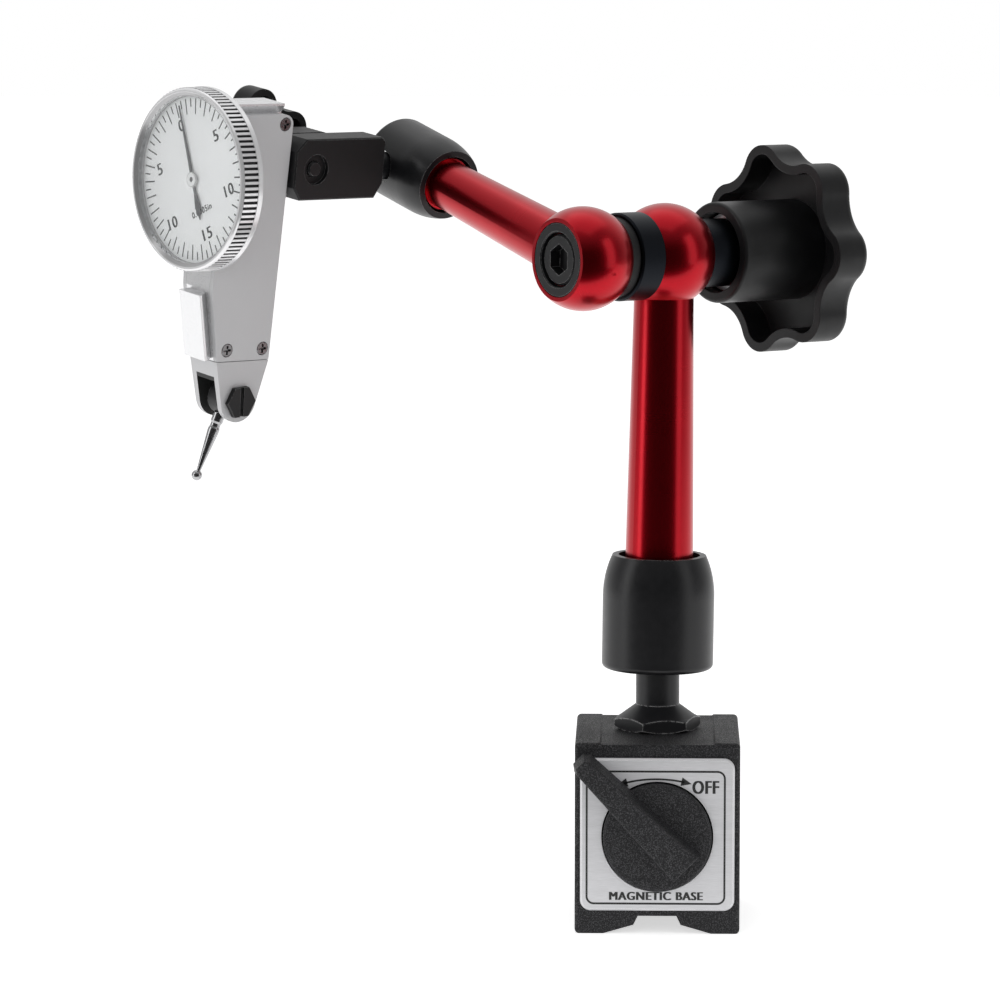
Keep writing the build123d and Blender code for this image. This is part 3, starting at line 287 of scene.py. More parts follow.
def moulded_plastic(name, colour, rough=0.44):
    """Black moulded plastic with the fine grain of a spark-eroded mould."""
    def make(sheet):
        grain = sheet.noise(0.22, 3.0, 0.6)
        handled = sheet.spread(sheet.noise(6.0, 4.0), 0.35, 0.7)
        rubbed = sheet.edges(0.5, 0.02, 0.4)
        return {
            "Base Color": sheet.mix(handled * 0.5 + rubbed * 0.6, colour, [2.0 * c + 0.004 for c in colour]),
            "Roughness": rough + 0.10 * grain - 0.08 * handled - 0.05 * rubbed,
            "Normal": sheet.bump(grain, 0.006, 0.35, 0.25),
        }
    return finish(name, make, **{"Specular IOR Level": 0.32})


def satin_metal(name, colour, rough=0.33, grain=0.14, relief=0.004, rounding=0.12, metallic=1.0):
    """Bead-blasted and plated metal."""
    def make(sheet):
        blast = sheet.noise(grain, 3.0, 0.65)
        cloud = sheet.noise(5.0, 4.0)
        rubbed = sheet.edges(0.2, 0.02, 0.3)
        tone = sheet.mix(blast * 0.5 + cloud * 0.3, [0.86 * c for c in colour], colour)
        return {
            "Base Color": sheet.mix(rubbed * 0.6, tone, [min(1.0, 1.12 * c) for c in colour]),
            "Roughness": rough + 0.10 * blast + 0.05 * cloud - 0.12 * rubbed,
            "Normal": sheet.bump(blast, relief, 0.5, rounding),
        }
    return finish(name, make, Metallic=metallic)


def paint_slot_shade(material, origin, across, up, half_width, height, shade):
    """Painted shade on the walls of a slot: within half_width of its middle and below a height."""
    sheet = Sheet.of(material)
    surface = next(node for node in material.node_tree.nodes if node.type == "BSDF_PRINCIPLED")
    socket = surface.inputs["Base Color"]
    plain = Flow(sheet, socket.links[0].from_socket)
    side = sheet.along(origin, across)
    inside = sheet.spread(side * side, half_width ** 2, (half_width + 0.03 * MM) ** 2, 1.0, 0.0)
    below = sheet.spread(sheet.along(origin, up), height - 0.05 * MM, height, 1.0, 0.0)
    sheet.feed(socket, sheet.mix(inside * below, plain, shade))
    return material


def turned_metal(name, colour, rough, origin, direction, pitch=0.09):
    """Metal with the fine rings a lathe leaves."""
    def make(sheet):
        rings = sheet.lines(sheet.from_axis(origin, direction) + sheet.along(origin, direction), pitch)
        stain = sheet.noise(2.2, 4.0)
        tone = sheet.mix(stain * 0.6 + rings * 0.2, [0.82 * c for c in colour], colour)
        return {
            "Base Color": tone,
            "Roughness": rough + 0.08 * stain + 0.06 * rings,
            "Normal": sheet.bump(rings, 0.0015, 0.5, 0.06),
        }
    return finish(name, make, Metallic=1.0)


def knurled_chrome(name, colour, groove_colour, origin, direction, radius, groove_depth, front, lip):
    """Bright plating with painted shade in the grooves below a given radius, behind a plain lip with a darker inner
    slope.
    """
    def make(sheet):
        reach = sheet.from_axis(origin, direction)
        ahead = sheet.along(origin, direction)
        behind_lip = sheet.spread(ahead, front - lip - 0.02 * MM, front - lip + 0.02 * MM, 1.0, 0.0)
        slope = sheet.spread(reach, radius - 0.95 * MM, radius - 0.75 * MM, 1.0, 0.0)
        floor = radius - groove_depth
        grooved = sheet.spread(reach, radius - 0.45 * groove_depth, radius - 0.1 * groove_depth, 1.0, 0.0)
        outside = sheet.spread(reach, floor - 0.25 * MM, floor - 0.12 * MM)
        # Painted shade: the knurl's grooves behind the lip get the dark groove colour and are made rougher.
        painted_groove_shade = grooved * outside * behind_lip
        stain = sheet.noise(1.2, 4.0)
        tone = sheet.mix(stain * 0.4, colour, [0.88 * c for c in colour])
        tone = sheet.mix(slope, tone, [0.5 * c for c in colour])
        return {
            "Base Color": sheet.mix(painted_groove_shade, tone, groove_colour),
            "Roughness": 0.18 + 0.08 * stain + 0.3 * painted_groove_shade,
            "Normal": sheet.bump(sheet.noise(0.12, 2.0), 0.0006, 0.4, 0.05),
        }
    return finish(name, make, Metallic=0.55)


def dial_enamel(name, colour):
    """White satin enamel on the dial."""
    def make(sheet):
        speck = sheet.noise(0.3, 3.0)
        cloud = sheet.noise(6.0, 3.0)
        return {
            "Base Color": sheet.mix(cloud * 0.5 + speck * 0.3, colour, [0.965 * c for c in colour]),
            "Roughness": 0.42 + 0.10 * speck,
            "Normal": sheet.bump(speck, 0.0008, 0.4),
        }
    return finish(name, make)


def printing_ink(name, colour):
    """Screen-printed ink: dense, with a slightly broken skin."""
    def make(sheet):
        skin = sheet.noise(0.12, 4.0, 0.6)
        return {
            "Base Color": sheet.mix(skin, colour, [1.5 * c + 0.015 for c in colour]),
            "Roughness": 0.40 + 0.25 * skin,
            "Normal": sheet.bump(skin, 0.001, 0.3),
        }
    return finish(name, make)


def needle_paint(name, colour, cap_colour, origin, direction, cap):
    """A dark needle with a pale cap at its middle."""
    def make(sheet):
        reach = sheet.from_axis(origin, direction)
        capped = sheet.spread(reach, cap - 0.05 * MM, cap + 0.02 * MM, 1.0, 0.0)
        rim = sheet.spread(reach, cap - 0.28 * MM, cap - 0.12 * MM)
        skin = sheet.noise(0.15, 3.0)
        pale = sheet.mix(rim * 0.55, cap_colour, [0.35 * c for c in cap_colour])
        return {
            "Base Color": sheet.mix(capped, sheet.mix(skin * 0.5, colour, [1.6 * c for c in colour]), pale),
            "Roughness": 0.34 + 0.12 * skin,
        }
    return finish(name, make)


def clear_crystal(name):
    """A thin clear crystal: what is behind it shows through, with a faint gloss."""
    material = bpy.data.materials.new(name)
    material.use_nodes = True
    sheet = Sheet(material.node_tree)
    gloss = sheet.add("ShaderNodeBsdfGlossy", {}, {"Color": (1, 1, 1), "Roughness": 0.04})
    through = sheet.add("ShaderNodeBsdfTransparent", {}, {"Color": (0.985, 0.99, 0.99)})
    sheen = sheet.add("ShaderNodeFresnel", {}, {"IOR": 1.25})
    smear = sheet.noise(8.0, 3.0)
    mixed = sheet.add("ShaderNodeMixShader", {}, {0: sheen * (0.35 + 0.2 * smear), 1: through, 2: gloss})
    sheet.add("ShaderNodeOutputMaterial", {}, {"Surface": mixed})
    return material


def stone(name, colour):
    """Synthetic ruby, polished."""
    def make(sheet):
        cloud = sheet.noise(0.8, 3.0)
        return {"Base Color": sheet.mix(cloud, colour, [0.6 * c for c in colour]), "Roughness": 0.08 + 0.05 * cloud}
    return finish(name, make, IOR=1.76)


# ---------------------------------------------------------------- shapes for printed marks
def mesh_piece(name, shape, place, body, material):
    """Makes a mesh in a place from a drawn shape, and lets it move with a body."""
    mesh = bpy.data.meshes.new(name)
    bmesh.ops.recalc_face_normals(shape, faces=shape.faces)
    shape.to_mesh(mesh)
    shape.free()
    mesh.transform(place)
    mesh.materials.append(material)
    piece = bpy.data.objects.new(name, mesh)
    bpy.context.scene.collection.objects.link(piece)
    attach(piece, body)
    return piece


def slab(shape, outline, thickness):
    """Adds a flat plate with the outline given counter-clockwise, standing on z = 0."""
    low = [shape.verts.new((x, y, 0.0)) for x, y in outline]
    high = [shape.verts.new((x, y, thickness)) for x, y in outline]
    shape.faces.new(high)
    shape.faces.new(low[::-1])
    for index in range(len(outline)):
        following = (index + 1) % len(outline)
        shape.faces.new((low[index], low[following], high[following], high[index]))


def stroke(shape, points, width, thickness, closed=False):
    """Adds a line of one width along points, as a thin raised strip."""
    count = len(points)
    left, right = [], []
    for index, (x, y) in enumerate(points):
        if closed:
            before, after = points[index - 1], points[(index + 1) % count]
        else:
            before, after = points[max(index - 1, 0)], points[min(index + 1, count - 1)]
        along = Vector((after[0] - before[0], after[1] - before[1])).normalized()
        side = Vector((-along.y, along.x)) * width / 2
        left.append((x + side.x, y + side.y))
        right.append((x - side.x, y - side.y))
    rims = []
    for rim in (left, right):
        rims.append([[shape.verts.new((x, y, z)) for x, y in rim] for z in (0.0, thickness)])
    (left_low, left_high), (right_low, right_high) = rims
    for index in range(count if closed else count - 1):
        following = (index + 1) % count
        corners = [
            (left_high[index], right_high[index], right_high[following], left_high[following]),
            (left_low[following], right_low[following], right_low[index], left_low[index]),
            (left_low[index], left_high[index], left_high[following], left_low[following]),
            (right_low[following], right_high[following], right_high[index], right_low[index]),
        ]
        for corner in corners:
            shape.faces.new(corner)
    if not closed:
        for index in (0, count - 1):
            shape.faces.new((left_low[index], right_low[index], right_high[index], left_high[index]))


def lettering(shape, words, centre, height, width, thickness, turn=0.0, bold=0.0, spacing=1.12):
    """Adds raised letters that fill a height and width about a centre, turned counter-clockwise."""
    curve = bpy.data.curves.new("letters", "FONT")
    curve.body = words
    curve.size = height
    curve.space_character = spacing
    curve.extrude = thickness / 2
    curve.resolution_u = 6
    letters = bpy.data.objects.new("letters", curve)
    mesh = bpy.data.meshes.new_from_object(letters)
    low = [min(v.co[i] for v in mesh.vertices) for i in range(2)]
    high = [max(v.co[i] for v in mesh.vertices) for i in range(2)]
    middle = Matrix.Translation((-(low[0] + high[0]) / 2, -(low[1] + high[1]) / 2, thickness / 2))
    fitted = Matrix.Diagonal((width / (high[0] - low[0]), height / (high[1] - low[1]), 1.0, 1.0))
    placed = Matrix.Translation((centre[0], centre[1], 0.0)) @ Matrix.Rotation(turn, 4, "Z")
    mesh.transform(fitted @ middle)
    for index, shift in enumerate((-bold, 0.0, bold)):
        struck = mesh.copy()
        struck.transform(placed @ Matrix.Translation((shift, 0.0, index * 0.1 * thickness)))
        shape.from_mesh(struck)
        bpy.data.meshes.remove(struck)
    bpy.data.objects.remove(letters)
    bpy.data.curves.remove(curve)
    bpy.data.meshes.remove(mesh)


def arc_points(start, through, end, count):
    """Points on the circle through three points, from start to end."""
    ax, ay = start
    bx, by = through
    cx, cy = end
    d = 2 * (ax * (by - cy) + bx * (cy - ay) + cx * (ay - by))
    a2, b2, c2 = ax * ax + ay * ay, bx * bx + by * by, cx * cx + cy * cy
    ux = (a2 * (by - cy) + b2 * (cy - ay) + c2 * (ay - by)) / d
    uy = (a2 * (cx - bx) + b2 * (ax - cx) + c2 * (bx - ax)) / d
    first = math.atan2(ay - uy, ax - ux)
    last = math.atan2(cy - uy, cx - ux)
    radius = math.hypot(ax - ux, ay - uy)
    turns = [first + (last - first) * index / (count - 1) for index in range(count)]
    return [(ux + radius * math.cos(turn), uy + radius * math.sin(turn)) for turn in turns]


def rounded_box(low, high, corner, steps=8):
    """A rounded rectangle, counter-clockwise, with points along its corners."""
    points = []
    middles = ((high[0] - corner, high[1] - corner), (low[0] + corner, high[1] - corner),
               (low[0] + corner, low[1] + corner), (high[0] - corner, low[1] + corner))
    for quarter, (x, y) in enumerate(middles):
        for step in range(steps + 1):
            angle = math.pi / 2 * (quarter + step / steps)
            points.append((x + corner * math.cos(angle), y + corner * math.sin(angle)))
    return points


# ---------------------------------------------------------------- settings
def length(name, description, default):
    return FloatProperty(name=name, description=description, default=default, unit="LENGTH", precision=5)


def colour(name, description, default):
    return FloatVectorProperty(
        name=name, description=description, default=default, subtype="COLOR", size=3, min=0.0, max=1.0)


class FinishSettings(bpy.types.PropertyGroup):
    enamel: colour("Enamel", "Pebbled enamel of the base and switch", (0.009, 0.009, 0.010))
    red: colour("Anodised Red", "Dye of the two arms", (0.50, 0.006, 0.016))
    deep_red: colour("Deep Red", "Darker patches of the dye", (0.34, 0.003, 0.009))
    oxide: colour("Black Oxide", "Blackened steel of sleeves and studs", (0.008, 0.008, 0.009))
    bare_steel: colour("Bare Steel", "Steel where the black is rubbed off", (0.42, 0.42, 0.42))
    plastic: colour("Knob Plastic", "Moulded star knobs", (0.005, 0.005, 0.0055))
    collar: colour("Collar Grey", "Dark anodised collar at the elbow", (0.014, 0.016, 0.020))
    silver: colour("Satin Silver", "Plated case of the indicator", (0.56, 0.56, 0.57))
    chrome: colour("Chrome", "Bright bezel and rails", (0.84, 0.84, 0.85))
    groove: colour("Groove", "Shade in the knurl's grooves", (0.03, 0.03, 0.031))
    steel: colour("Steel", "Turned screws and stylus", (0.50, 0.50, 0.51))
    brass: colour("Brass", "Inserts and wheels", (0.72, 0.52, 0.22))
    plate: colour("Plate", "Brushed label plate", (0.80, 0.80, 0.82))


class LabelSettings(bpy.types.PropertyGroup):
    border_line: length("Border Line", "Width of the printed border", 0.36 * MM)
    border_corner: length("Border Corner", "Corner radius of the printed border", 1.3 * MM)
    arrow_line: length("Arrow Line", "Width of the curved arrow's line", 0.34 * MM)
    arrow_head: length("Arrow Head", "Length of the curved arrow's heads", 1.9 * MM)
    ink_height: length("Ink Height", "Thickness of the printed ink", 0.02 * MM)
    ink: colour("Ink", "Printed marks on the plate", (0.008, 0.008, 0.008))


class DialSettings(bpy.types.PropertyGroup):
    divisions: IntProperty(name="Divisions", description="Marks round the dial", default=60, min=12)
    turn: FloatProperty(
        name="Face Turn", description="How far the face is turned from upright", default=math.radians(30),
        subtype="ANGLE")
    outer: length("Outer Radius", "Outer end of the marks", 14.7 * MM)
    long_inner: length("Long Mark", "Inner end of the long marks", 11.9 * MM)
    short_inner: length("Short Mark", "Inner end of the short marks", 13.2 * MM)
    mark_width: length("Mark Width", "Width of a mark", 0.26 * MM)
    numeral_radius: length("Numeral Radius", "Radius of the numerals' centres", 10.4 * MM)
    numeral_height: length("Numeral Height", "Height of the numerals", 2.1 * MM)
    ink_height: length("Ink Height", "Thickness of the printed ink", 0.02 * MM)
    ink: colour("Ink", "Printed marks on the dial", (0.012, 0.012, 0.013))
    enamel: colour("Enamel", "White of the dial", (0.93, 0.93, 0.935))
    needle: colour("Needle", "Painted needle", (0.07, 0.07, 0.075))


class StudioSettings(bpy.types.PropertyGroup):
    key: FloatProperty(name="Key Light", description="Softbox on the left", default=1.9, min=0.0, unit="POWER")
    fill: FloatProperty(name="Fill Light", description="Softbox on the right", default=1.1, min=0.0, unit="POWER")
    top: FloatProperty(name="Top Light", description="Softbox overhead", default=1.3, min=0.0, unit="POWER")
    front: FloatProperty(
        name="Front Light", description="Matte light from the front", default=1.5, min=0.0, unit="POWER")
    surround: FloatProperty(name="Surround", description="Light from the pale room", default=0.5, min=0.0)
    focal: FloatProperty(
        name="Focal Length", description="Camera lens", default=197.96, min=1.0, subtype="DISTANCE_CAMERA")
    camera_place: FloatVectorProperty(
        name="Camera", description="Where the camera stands", default=(-0.0016, -1.0, 0.2013), subtype="TRANSLATION")
    camera_tilt: FloatProperty(
        name="Tilt", description="How far the camera looks down", default=math.radians(7.07), subtype="ANGLE")
    camera_turn: FloatProperty(
        name="Turn", description="How far the camera is turned to the left", default=math.radians(1.57),
        subtype="ANGLE")


# ---------------------------------------------------------------- parts
class INDICATOR_OT_base(bpy.types.Operator):
    """Finish the magnetic base's poles, spacer and back cover"""

    bl_idname = "indicator.base"
    bl_label = "Magnetic Base"

    def execute(self, context):
        tones = context.scene.indicator_finish
        enamel = pebbled_enamel("base_enamel", tones.enamel, 0.32, 0.09)
        wear(enamel, "base_left_pole", "base_right_pole", "base_spacer", "base_back_cover")
        axis = axis_of("switch_turn")
        middle = point_of("switch_turn")
        screws = turned_metal("base_screw_steel", tones.steel, 0.26, middle, axis)
        wear(screws, "base_cover_screws", "switch_tie_screw")
        wear(satin_metal("ground_ferrite", [0.3 * c for c in tones.steel], 0.45), "magnet_rotor")
        return {"FINISHED"}


class INDICATOR_OT_switch(bpy.types.Operator):
    """Finish the switch knob"""

    bl_idname = "indicator.switch"
    bl_label = "Switch Knob"

    def execute(self, context):
        tones = context.scene.indicator_finish
        wear(pebbled_enamel("switch_black", [1.1 * c for c in tones.enamel], 0.24, 0.05), "switch_knob")
        return {"FINISHED"}


class INDICATOR_OT_label(bpy.types.Operator):
    """Finish the label plate and print its border, arrow and words"""

    bl_idname = "indicator.label"
    bl_label = "Label Plate"

    def execute(self, context):
        label = context.scene.indicator_label
        wear(brushed_plate("plate_aluminium", context.scene.indicator_finish.plate), "label_plate")
        ink = printing_ink("label_ink", label.ink)
        outward = -axis_of("switch_turn")
        centre = point_of("switch_turn")
        surface = centre + outward * outermost("label_plate", centre, outward)
        place = frame_at(surface, Vector((0, 0, 1)), outward)
        shape = bmesh.new()
        border = rounded_box((-12.8 * MM, -12.3 * MM), (12.2 * MM, 12.0 * MM), label.border_corner)
        stroke(shape, border, label.border_line, label.ink_height, closed=True)
        arc = arc_points((-7.3 * MM, 9.5 * MM), (-0.3 * MM, 10.6 * MM), (6.2 * MM, 9.75 * MM), 32)
        shorten = 3
        stroke(shape, arc[shorten:-shorten], label.arrow_line, label.ink_height)
        for tip, behind in ((arc[0], arc[4]), (arc[-1], arc[-5])):
            self.arrow_head(shape, tip, behind, label)
        lettering(shape, "OFF", (8.75 * MM, 9.15 * MM), 2.4 * MM, 4.6 * MM, label.ink_height, bold=0.14 * MM)
        lettering(shape, "ON", (-10.1 * MM, 9.15 * MM), 2.2 * MM, 2.9 * MM, label.ink_height, bold=0.13 * MM)
        lettering(
            shape, "MAGNETIC BASE", (-0.2 * MM, -10.9 * MM), 1.5 * MM, 16.8 * MM, label.ink_height, bold=0.13 * MM)
        mesh_piece("label_print", shape, place, "base", ink)
        return {"FINISHED"}

    @staticmethod
    def arrow_head(shape, tip, behind, label):
        back = (Vector(behind) - Vector(tip)).normalized()
        side = Vector((-back.y, back.x)) * label.arrow_head * 0.42
        foot = Vector(tip) + back * label.arrow_head
        corners = [Vector(tip), foot + side, foot - side]
        if (corners[1] - corners[0]).cross(corners[2] - corners[0]) < 0:
            corners = [corners[0], corners[2], corners[1]]
        slab(shape, [tuple(corner) for corner in corners], label.ink_height)


class INDICATOR_OT_joints(bpy.types.Operator):
    """Finish the ball studs, sleeves and push pins"""

    bl_idname = "indicator.joints"
    bl_label = "Ball Joints"

    def execute(self, context):
        tones = context.scene.indicator_finish
        sleeve = black_oxide("sleeve_oxide", tones.oxide, tones.bare_steel, 0.2, 0.5, 0.24)
        wear(sleeve, "lower_sleeve", "upper_sleeve")
        stud = black_oxide("stud_oxide", [1.5 * c for c in tones.oxide], tones.bare_steel, 0.45, 1.0, 0.30)
        wear(stud, "lower_ball_stud", "upper_ball_stud")
        lower = turned_metal(
            "lower_pin_steel", tones.steel, 0.2, point_of("lower_arm_turn"), axis_of("lower_arm_turn"))
        wear(lower, "lower_push_pin")
        upper = turned_metal(
            "upper_pin_steel", tones.steel, 0.2, point_of("upper_sleeve_turn"), axis_of("upper_sleeve_turn"))
        wear(upper, "upper_push_pin")
        return {"FINISHED"}


class INDICATOR_OT_arms(bpy.types.Operator):
    """Finish the two red arms"""

    bl_idname = "indicator.arms"
    bl_label = "Arms"

    def execute(self, context):
        tones = context.scene.indicator_finish
        for node, joint in (("lower_arm", "lower_arm_turn"), ("upper_arm", "upper_sleeve_turn")):
            red = red_anodised(node + "_red", tones.red, tones.deep_red, point_of(joint), axis_of(joint))
            wear(red, node)
        return {"FINISHED"}


class INDICATOR_OT_elbow(bpy.types.Operator):
    """Finish the elbow's collar, washers, wedges and draw bolt"""

    bl_idname = "indicator.elbow"
    bl_label = "Elbow"

    def execute(self, context):
        tones = context.scene.indicator_finish
        centre, axis = point_of("elbow_fold"), axis_of("elbow_fold")
        wear(satin_metal("collar_anodised", tones.collar, 0.34, 0.12, 0.003), "elbow_collar", "knob_boss")
        wear(moulded_plastic("washer_nylon", [1.4 * c for c in tones.plastic], 0.5), "elbow_washer")
        bolt = black_oxide("bolt_oxide", [0.7 * c for c in tones.oxide], tones.bare_steel, 0.16, 0.8, 0.32)
        wear(bolt, "draw_bolt", "elbow_end_ring")
        steel = turned_metal("elbow_steel", tones.steel, 0.22, centre, axis)
        wear(steel, "knob_washer", "lower_wedge", "upper_wedge")
        return {"FINISHED"}


class INDICATOR_OT_knobs(bpy.types.Operator):
    """Finish the two star knobs and the brass insert"""

    bl_idname = "indicator.knobs"
    bl_label = "Star Knobs"

    def execute(self, context):
        tones = context.scene.indicator_finish
        wear(moulded_plastic("knob_plastic", tones.plastic, 0.40), "main_knob", "clamp_knob")
        brass = turned_metal("insert_brass", tones.brass, 0.25, point_of("main_knob_turn"), axis_of("main_knob_turn"))
        wear(brass, "main_knob_insert")
        return {"FINISHED"}


class INDICATOR_OT_clamp(bpy.types.Operator):
    """Finish the dovetail clamp's jaws and screw"""

    bl_idname = "indicator.clamp"
    bl_label = "Dovetail Clamp"

    def execute(self, context):
        tones = context.scene.indicator_finish
        jaws = black_oxide("jaw_oxide", [0.75 * c for c in tones.oxide], tones.bare_steel, 0.14, 0.45, 0.40)
        wear(jaws, "clamp_front_jaw", "clamp_rear_jaw")
        screw = black_oxide("clamp_screw_oxide", [0.8 * c for c in tones.oxide], tones.bare_steel, 0.14, 0.7, 0.34)
        wear(screw, "clamp_screw")
        return {"FINISHED"}


class INDICATOR_OT_case(bpy.types.Operator):
    """Finish the indicator's frame, side covers, nose and screws"""

    bl_idname = "indicator.case"
    bl_label = "Indicator Case"

    def execute(self, context):
        tones = context.scene.indicator_finish
        covers = satin_metal("case_satin", tones.silver, 0.46, 0.22, 0.014, metallic=0.12)
        wear(covers, "indicator_right_cover", "indicator_left_cover")
        nose = satin_metal("nose_satin", tones.silver, 0.40, 0.16, 0.006, metallic=0.25)
        pivot_point, across, up = point_of("stylus_swivel"), axis_of("stylus_swivel"), axis_of("indicator_slide")
        # The walls of the nose's slot get painted shade.
        wear(paint_slot_shade(nose, pivot_point, across, up, 2.66 * MM, 4.6 * MM, (0.02, 0.02, 0.02)), "indicator_nose")
        wear(satin_metal("frame_polished", tones.chrome, 0.20, 0.10, 0.0015, metallic=0.8), "indicator_frame")
        dark_steel = [0.5 * c for c in tones.steel]
        wear(satin_metal("cover_screw_steel", dark_steel, 0.20, 0.2, 0.002, 0.05), "indicator_cover_screws")
        pivot = black_oxide("pivot_oxide", [0.6 * c for c in tones.oxide], tones.bare_steel, 0.12, 0.5, 0.34)
        wear(pivot, "pivot_screw")
        wear(stone("jewel_ruby", (0.55, 0.02, 0.07)), "jewel_bearings")
        return {"FINISHED"}


class INDICATOR_OT_bezel(bpy.types.Operator):
    """Finish the knurled bezel and its crystal"""

    bl_idname = "indicator.bezel"
    bl_label = "Bezel"

    def execute(self, context):
        tones = context.scene.indicator_finish
        origin, axis = point_of("bezel_turn"), axis_of("bezel_turn")
        chrome = knurled_chrome(
            "bezel_chrome", tones.chrome, tones.groove, origin, axis, 16.75 * MM, 0.32 * MM,
            outermost("bezel", origin, axis), 0.55 * MM)
        wear(chrome, "bezel")
        wear(clear_crystal("crystal_clear"), "crystal")
        return {"FINISHED"}


class INDICATOR_OT_dial(bpy.types.Operator):
    """Finish the dial and needle, and print the dial's marks and numbers"""

    bl_idname = "indicator.dial"
    bl_label = "Dial and Needle"

    def execute(self, context):
        dial = context.scene.indicator_dial
        origin, axis, up = point_of("bezel_turn"), axis_of("bezel_turn"), axis_of("indicator_slide")
        wear(dial_enamel("dial_white", dial.enamel), "dial_face")
        wear(needle_paint("needle_paint", dial.needle, (0.85, 0.85, 0.85), origin, axis, 1.4 * MM), "pointer")
        ink = printing_ink("dial_ink", dial.ink)
        surface = origin + axis * (outermost("dial_face", origin, axis) + 0.002 * MM)
        place = frame_at(surface, up, axis)
        shape = bmesh.new()
        for index in range(dial.divisions):
            self.mark(shape, dial, index)
        step = 2 * math.pi / 6
        for index, words in enumerate(("0", "5", "10", "15", "10", "5")):
            self.numeral(shape, dial, words, -index * step)
        below = dial.turn + math.pi / 2
        spot = (-6.0 * MM * math.cos(below), -6.0 * MM * math.sin(below))
        lettering(shape, "0.0005in", spot, 1.15 * MM, 6.0 * MM, dial.ink_height, dial.turn, 0.04 * MM)
        mesh_piece("dial_print", shape, place, "bezel", ink)
        return {"FINISHED"}

    @staticmethod
    def mark(shape, dial, index):
        inner = dial.short_inner if index % 2 else dial.long_inner
        turn = dial.turn + math.pi / 2 + 2 * math.pi * index / dial.divisions
        out = Vector((math.cos(turn), math.sin(turn)))
        side = Vector((-out.y, out.x)) * dial.mark_width / 2
        corners = (out * inner - side, out * dial.outer - side, out * dial.outer + side, out * inner + side)
        slab(shape, [tuple(corner) for corner in corners], dial.ink_height)

    @staticmethod
    def numeral(shape, dial, words, clockwise):
        turn = dial.turn + math.pi / 2 + clockwise
        spot = (dial.numeral_radius * math.cos(turn), dial.numeral_radius * math.sin(turn))
        width = dial.numeral_height * (0.62 if len(words) == 1 else 1.25)
        lettering(shape, words, spot, dial.numeral_height, width, dial.ink_height, dial.turn, 0.09 * MM)


class INDICATOR_OT_movement(bpy.types.Operator):
    """Finish the movement inside the case"""

    bl_idname = "indicator.movement"
    bl_label = "Movement"

    def execute(self, context):
        tones = context.scene.indicator_finish
        dial, axis = point_of("bezel_turn"), axis_of("bezel_turn")
        wear(turned_metal("arbor_steel", [0.35 * c for c in tones.steel], 0.22, dial, axis), "pointer_arbor")
        crown = turned_metal("crown_brass", tones.brass, 0.22, point_of("crown_turn"), axis_of("crown_turn"))
        wear(crown, "crown_wheel")
        wear(satin_metal("sector_steel", tones.steel, 0.28), "lever_sector")
        return {"FINISHED"}


class INDICATOR_OT_stylus(bpy.types.Operator):
    """Finish the stylus and the hub it screws into"""

    bl_idname = "indicator.stylus"
    bl_label = "Stylus"

    def execute(self, context):
        tones = context.scene.indicator_finish
        pivot, across = point_of("stylus_swivel"), axis_of("stylus_swivel")
        wear(turned_metal("stylus_steel", tones.steel, 0.16, pivot, across, 0.05), "stylus")
        hub = black_oxide("hub_oxide", [1.2 * c for c in tones.oxide], tones.bare_steel, 0.14, 0.8, 0.32)
        wear(hub, "stylus_hub")
        return {"FINISHED"}


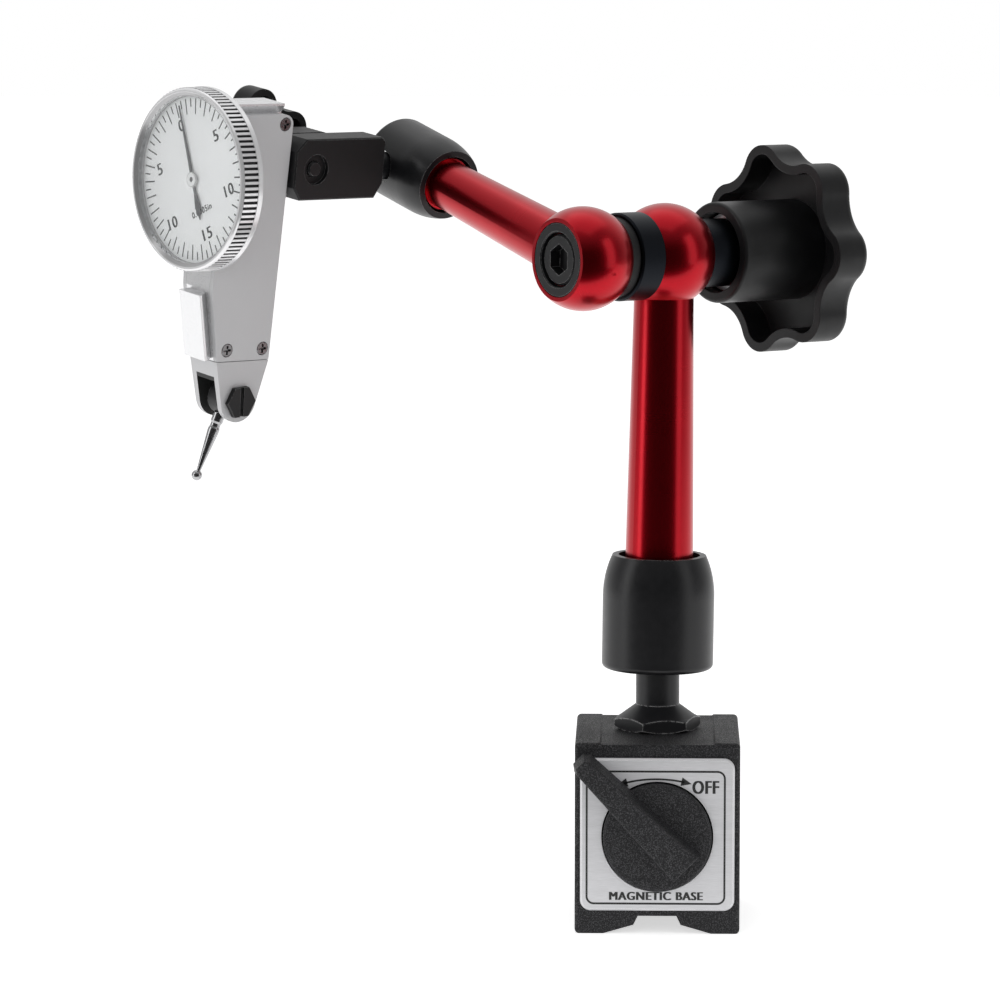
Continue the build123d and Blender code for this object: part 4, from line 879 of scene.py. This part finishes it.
class INDICATOR_OT_studio(bpy.types.Operator):
    """Set up the floor, soft lights, room and camera"""

    bl_idname = "indicator.studio"
    bl_label = "Studio"

    def execute(self, context):
        studio = context.scene.indicator_studio
        context.scene.view_settings.view_transform = "Standard"
        self.floor()
        self.room(studio)
        self.softbox("key_light", (-0.88, -0.26, 0.36), (0.26, 0.95), studio.key)
        self.softbox("fill_light", (0.80, -0.36, 0.30), (0.34, 0.95), studio.fill)
        self.softbox("top_light", (0.0, 0.05, 0.95), (0.9, 0.9), studio.top)
        self.softbox("front_light", (-0.25, -0.9, 0.35), (0.6, 0.6), studio.front, glossy=False)
        self.camera(studio)
        return {"FINISHED"}

    @staticmethod
    def floor():
        shape = bmesh.new()
        half, near, far = 0.8, -0.12, 3.0
        corners = ((-half, near), (half, near), (half, far), (-half, far))
        shape.faces.new([shape.verts.new((x, y, 0.0)) for x, y in corners])
        mesh = bpy.data.meshes.new("floor")
        shape.to_mesh(mesh)
        shape.free()
        mesh.transform(Matrix.Translation((0, 0, -0.02 * MM)))

        def make(sheet):
            paper = sheet.noise(2.0, 3.0)
            return {"Base Color": sheet.mix(paper * 0.3, (0.93, 0.93, 0.93), (0.91, 0.91, 0.91)), "Roughness": 0.8}
        white = finish("floor_white", make, **{
            "Specular IOR Level": 0.1, "Emission Color": (1, 1, 1), "Emission Strength": 0.6})
        mesh.materials.append(white)
        floor = bpy.data.objects.new("floor", mesh)
        bpy.context.scene.collection.objects.link(floor)

    @staticmethod
    def room(studio):
        """A pale room that is darker behind the camera, so that metal has something to reflect."""
        world = bpy.data.worlds.new("pale_room")
        world.use_nodes = True
        bpy.context.scene.world = world
        sheet = Sheet(world.node_tree)
        look = sheet.add("ShaderNodeTexCoord", output="Generated")
        ahead = sheet.add("ShaderNodeVectorMath", {"operation": "DOT_PRODUCT"}, {0: look, 1: (0, 1, 0)}, "Value")
        above = sheet.add("ShaderNodeVectorMath", {"operation": "DOT_PRODUCT"}, {0: look, 1: (0, 0, 1)}, "Value")
        pale = sheet.spread(ahead, -0.35, 0.85, 0.03, 0.95)
        lifted = pale + sheet.spread(above, 0.3, 0.9, 0.0, 0.3)
        seen = sheet.add("ShaderNodeLightPath", output="Is Camera Ray")
        glossy = sheet.add("ShaderNodeLightPath", output="Is Glossy Ray")
        even = 1 - glossy
        strength = seen * 1.0 + (1 - seen) * (glossy * lifted * 0.85 + even * studio.surround)
        light = sheet.add("ShaderNodeBackground", {}, {"Color": (1.0, 1.0, 1.0), "Strength": strength})
        sheet.add("ShaderNodeOutputWorld", {}, {"Surface": light})

    @staticmethod
    def softbox(name, place, size, power, glossy=True):
        light = bpy.data.lights.new(name, "AREA")
        light.shape = "RECTANGLE"
        light.size, light.size_y = size
        light.energy = power
        lamp = bpy.data.objects.new(name, light)
        lamp.location = place
        aim = Vector((-0.02, 0.0, 0.09)) - Vector(place)
        lamp.rotation_euler = aim.to_track_quat("-Z", "Y").to_euler()
        lamp.visible_camera = False
        lamp.visible_glossy = glossy
        bpy.context.scene.collection.objects.link(lamp)

    @staticmethod
    def camera(studio):
        data = bpy.data.cameras.new("camera")
        data.lens = studio.focal
        data.sensor_width = 36.0
        data.clip_start, data.clip_end = 0.05, 50.0
        camera = bpy.data.objects.new("camera", data)
        camera.location = studio.camera_place
        camera.rotation_euler = (math.pi / 2 - studio.camera_tilt, 0.0, studio.camera_turn)
        bpy.context.scene.collection.objects.link(camera)
        bpy.context.scene.camera = camera


OPERATORS = (
    INDICATOR_OT_base, INDICATOR_OT_switch, INDICATOR_OT_label, INDICATOR_OT_joints, INDICATOR_OT_arms,
    INDICATOR_OT_elbow, INDICATOR_OT_knobs, INDICATOR_OT_clamp, INDICATOR_OT_case, INDICATOR_OT_bezel,
    INDICATOR_OT_dial, INDICATOR_OT_movement, INDICATOR_OT_stylus, INDICATOR_OT_studio,
)
SETTINGS = {
    "indicator_finish": FinishSettings,
    "indicator_label": LabelSettings,
    "indicator_dial": DialSettings,
    "indicator_studio": StudioSettings,
}


class INDICATOR_PT_parts(bpy.types.Panel):
    """Lists the parts and the studio in the sidebar"""

    bl_idname = "INDICATOR_PT_parts"
    bl_label = "Dial Indicator"
    bl_space_type = "VIEW_3D"
    bl_region_type = "UI"
    bl_category = "Indicator"

    def draw(self, context):
        for operator in OPERATORS:
            self.layout.operator(operator.bl_idname)
        for name in SETTINGS:
            group = getattr(context.scene, name)
            box = self.layout.box()
            for setting in group.bl_rna.properties.keys()[2:]:
                box.prop(group, setting)


def register():
    for settings in SETTINGS.values():
        bpy.utils.register_class(settings)
    for operator in OPERATORS:
        bpy.utils.register_class(operator)
    bpy.utils.register_class(INDICATOR_PT_parts)
    for name, settings in SETTINGS.items():
        setattr(bpy.types.Scene, name, PointerProperty(type=settings))


def unregister():
    for name in SETTINGS:
        delattr(bpy.types.Scene, name)
    bpy.utils.unregister_class(INDICATOR_PT_parts)
    for operator in reversed(OPERATORS):
        bpy.utils.unregister_class(operator)
    for settings in reversed(list(SETTINGS.values())):
        bpy.utils.unregister_class(settings)


def main():
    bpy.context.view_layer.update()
    register()
    for operator in OPERATORS:
        group, name = operator.bl_idname.split(".")
        getattr(getattr(bpy.ops, group), name)()


if __name__ == "__main__":
    main()
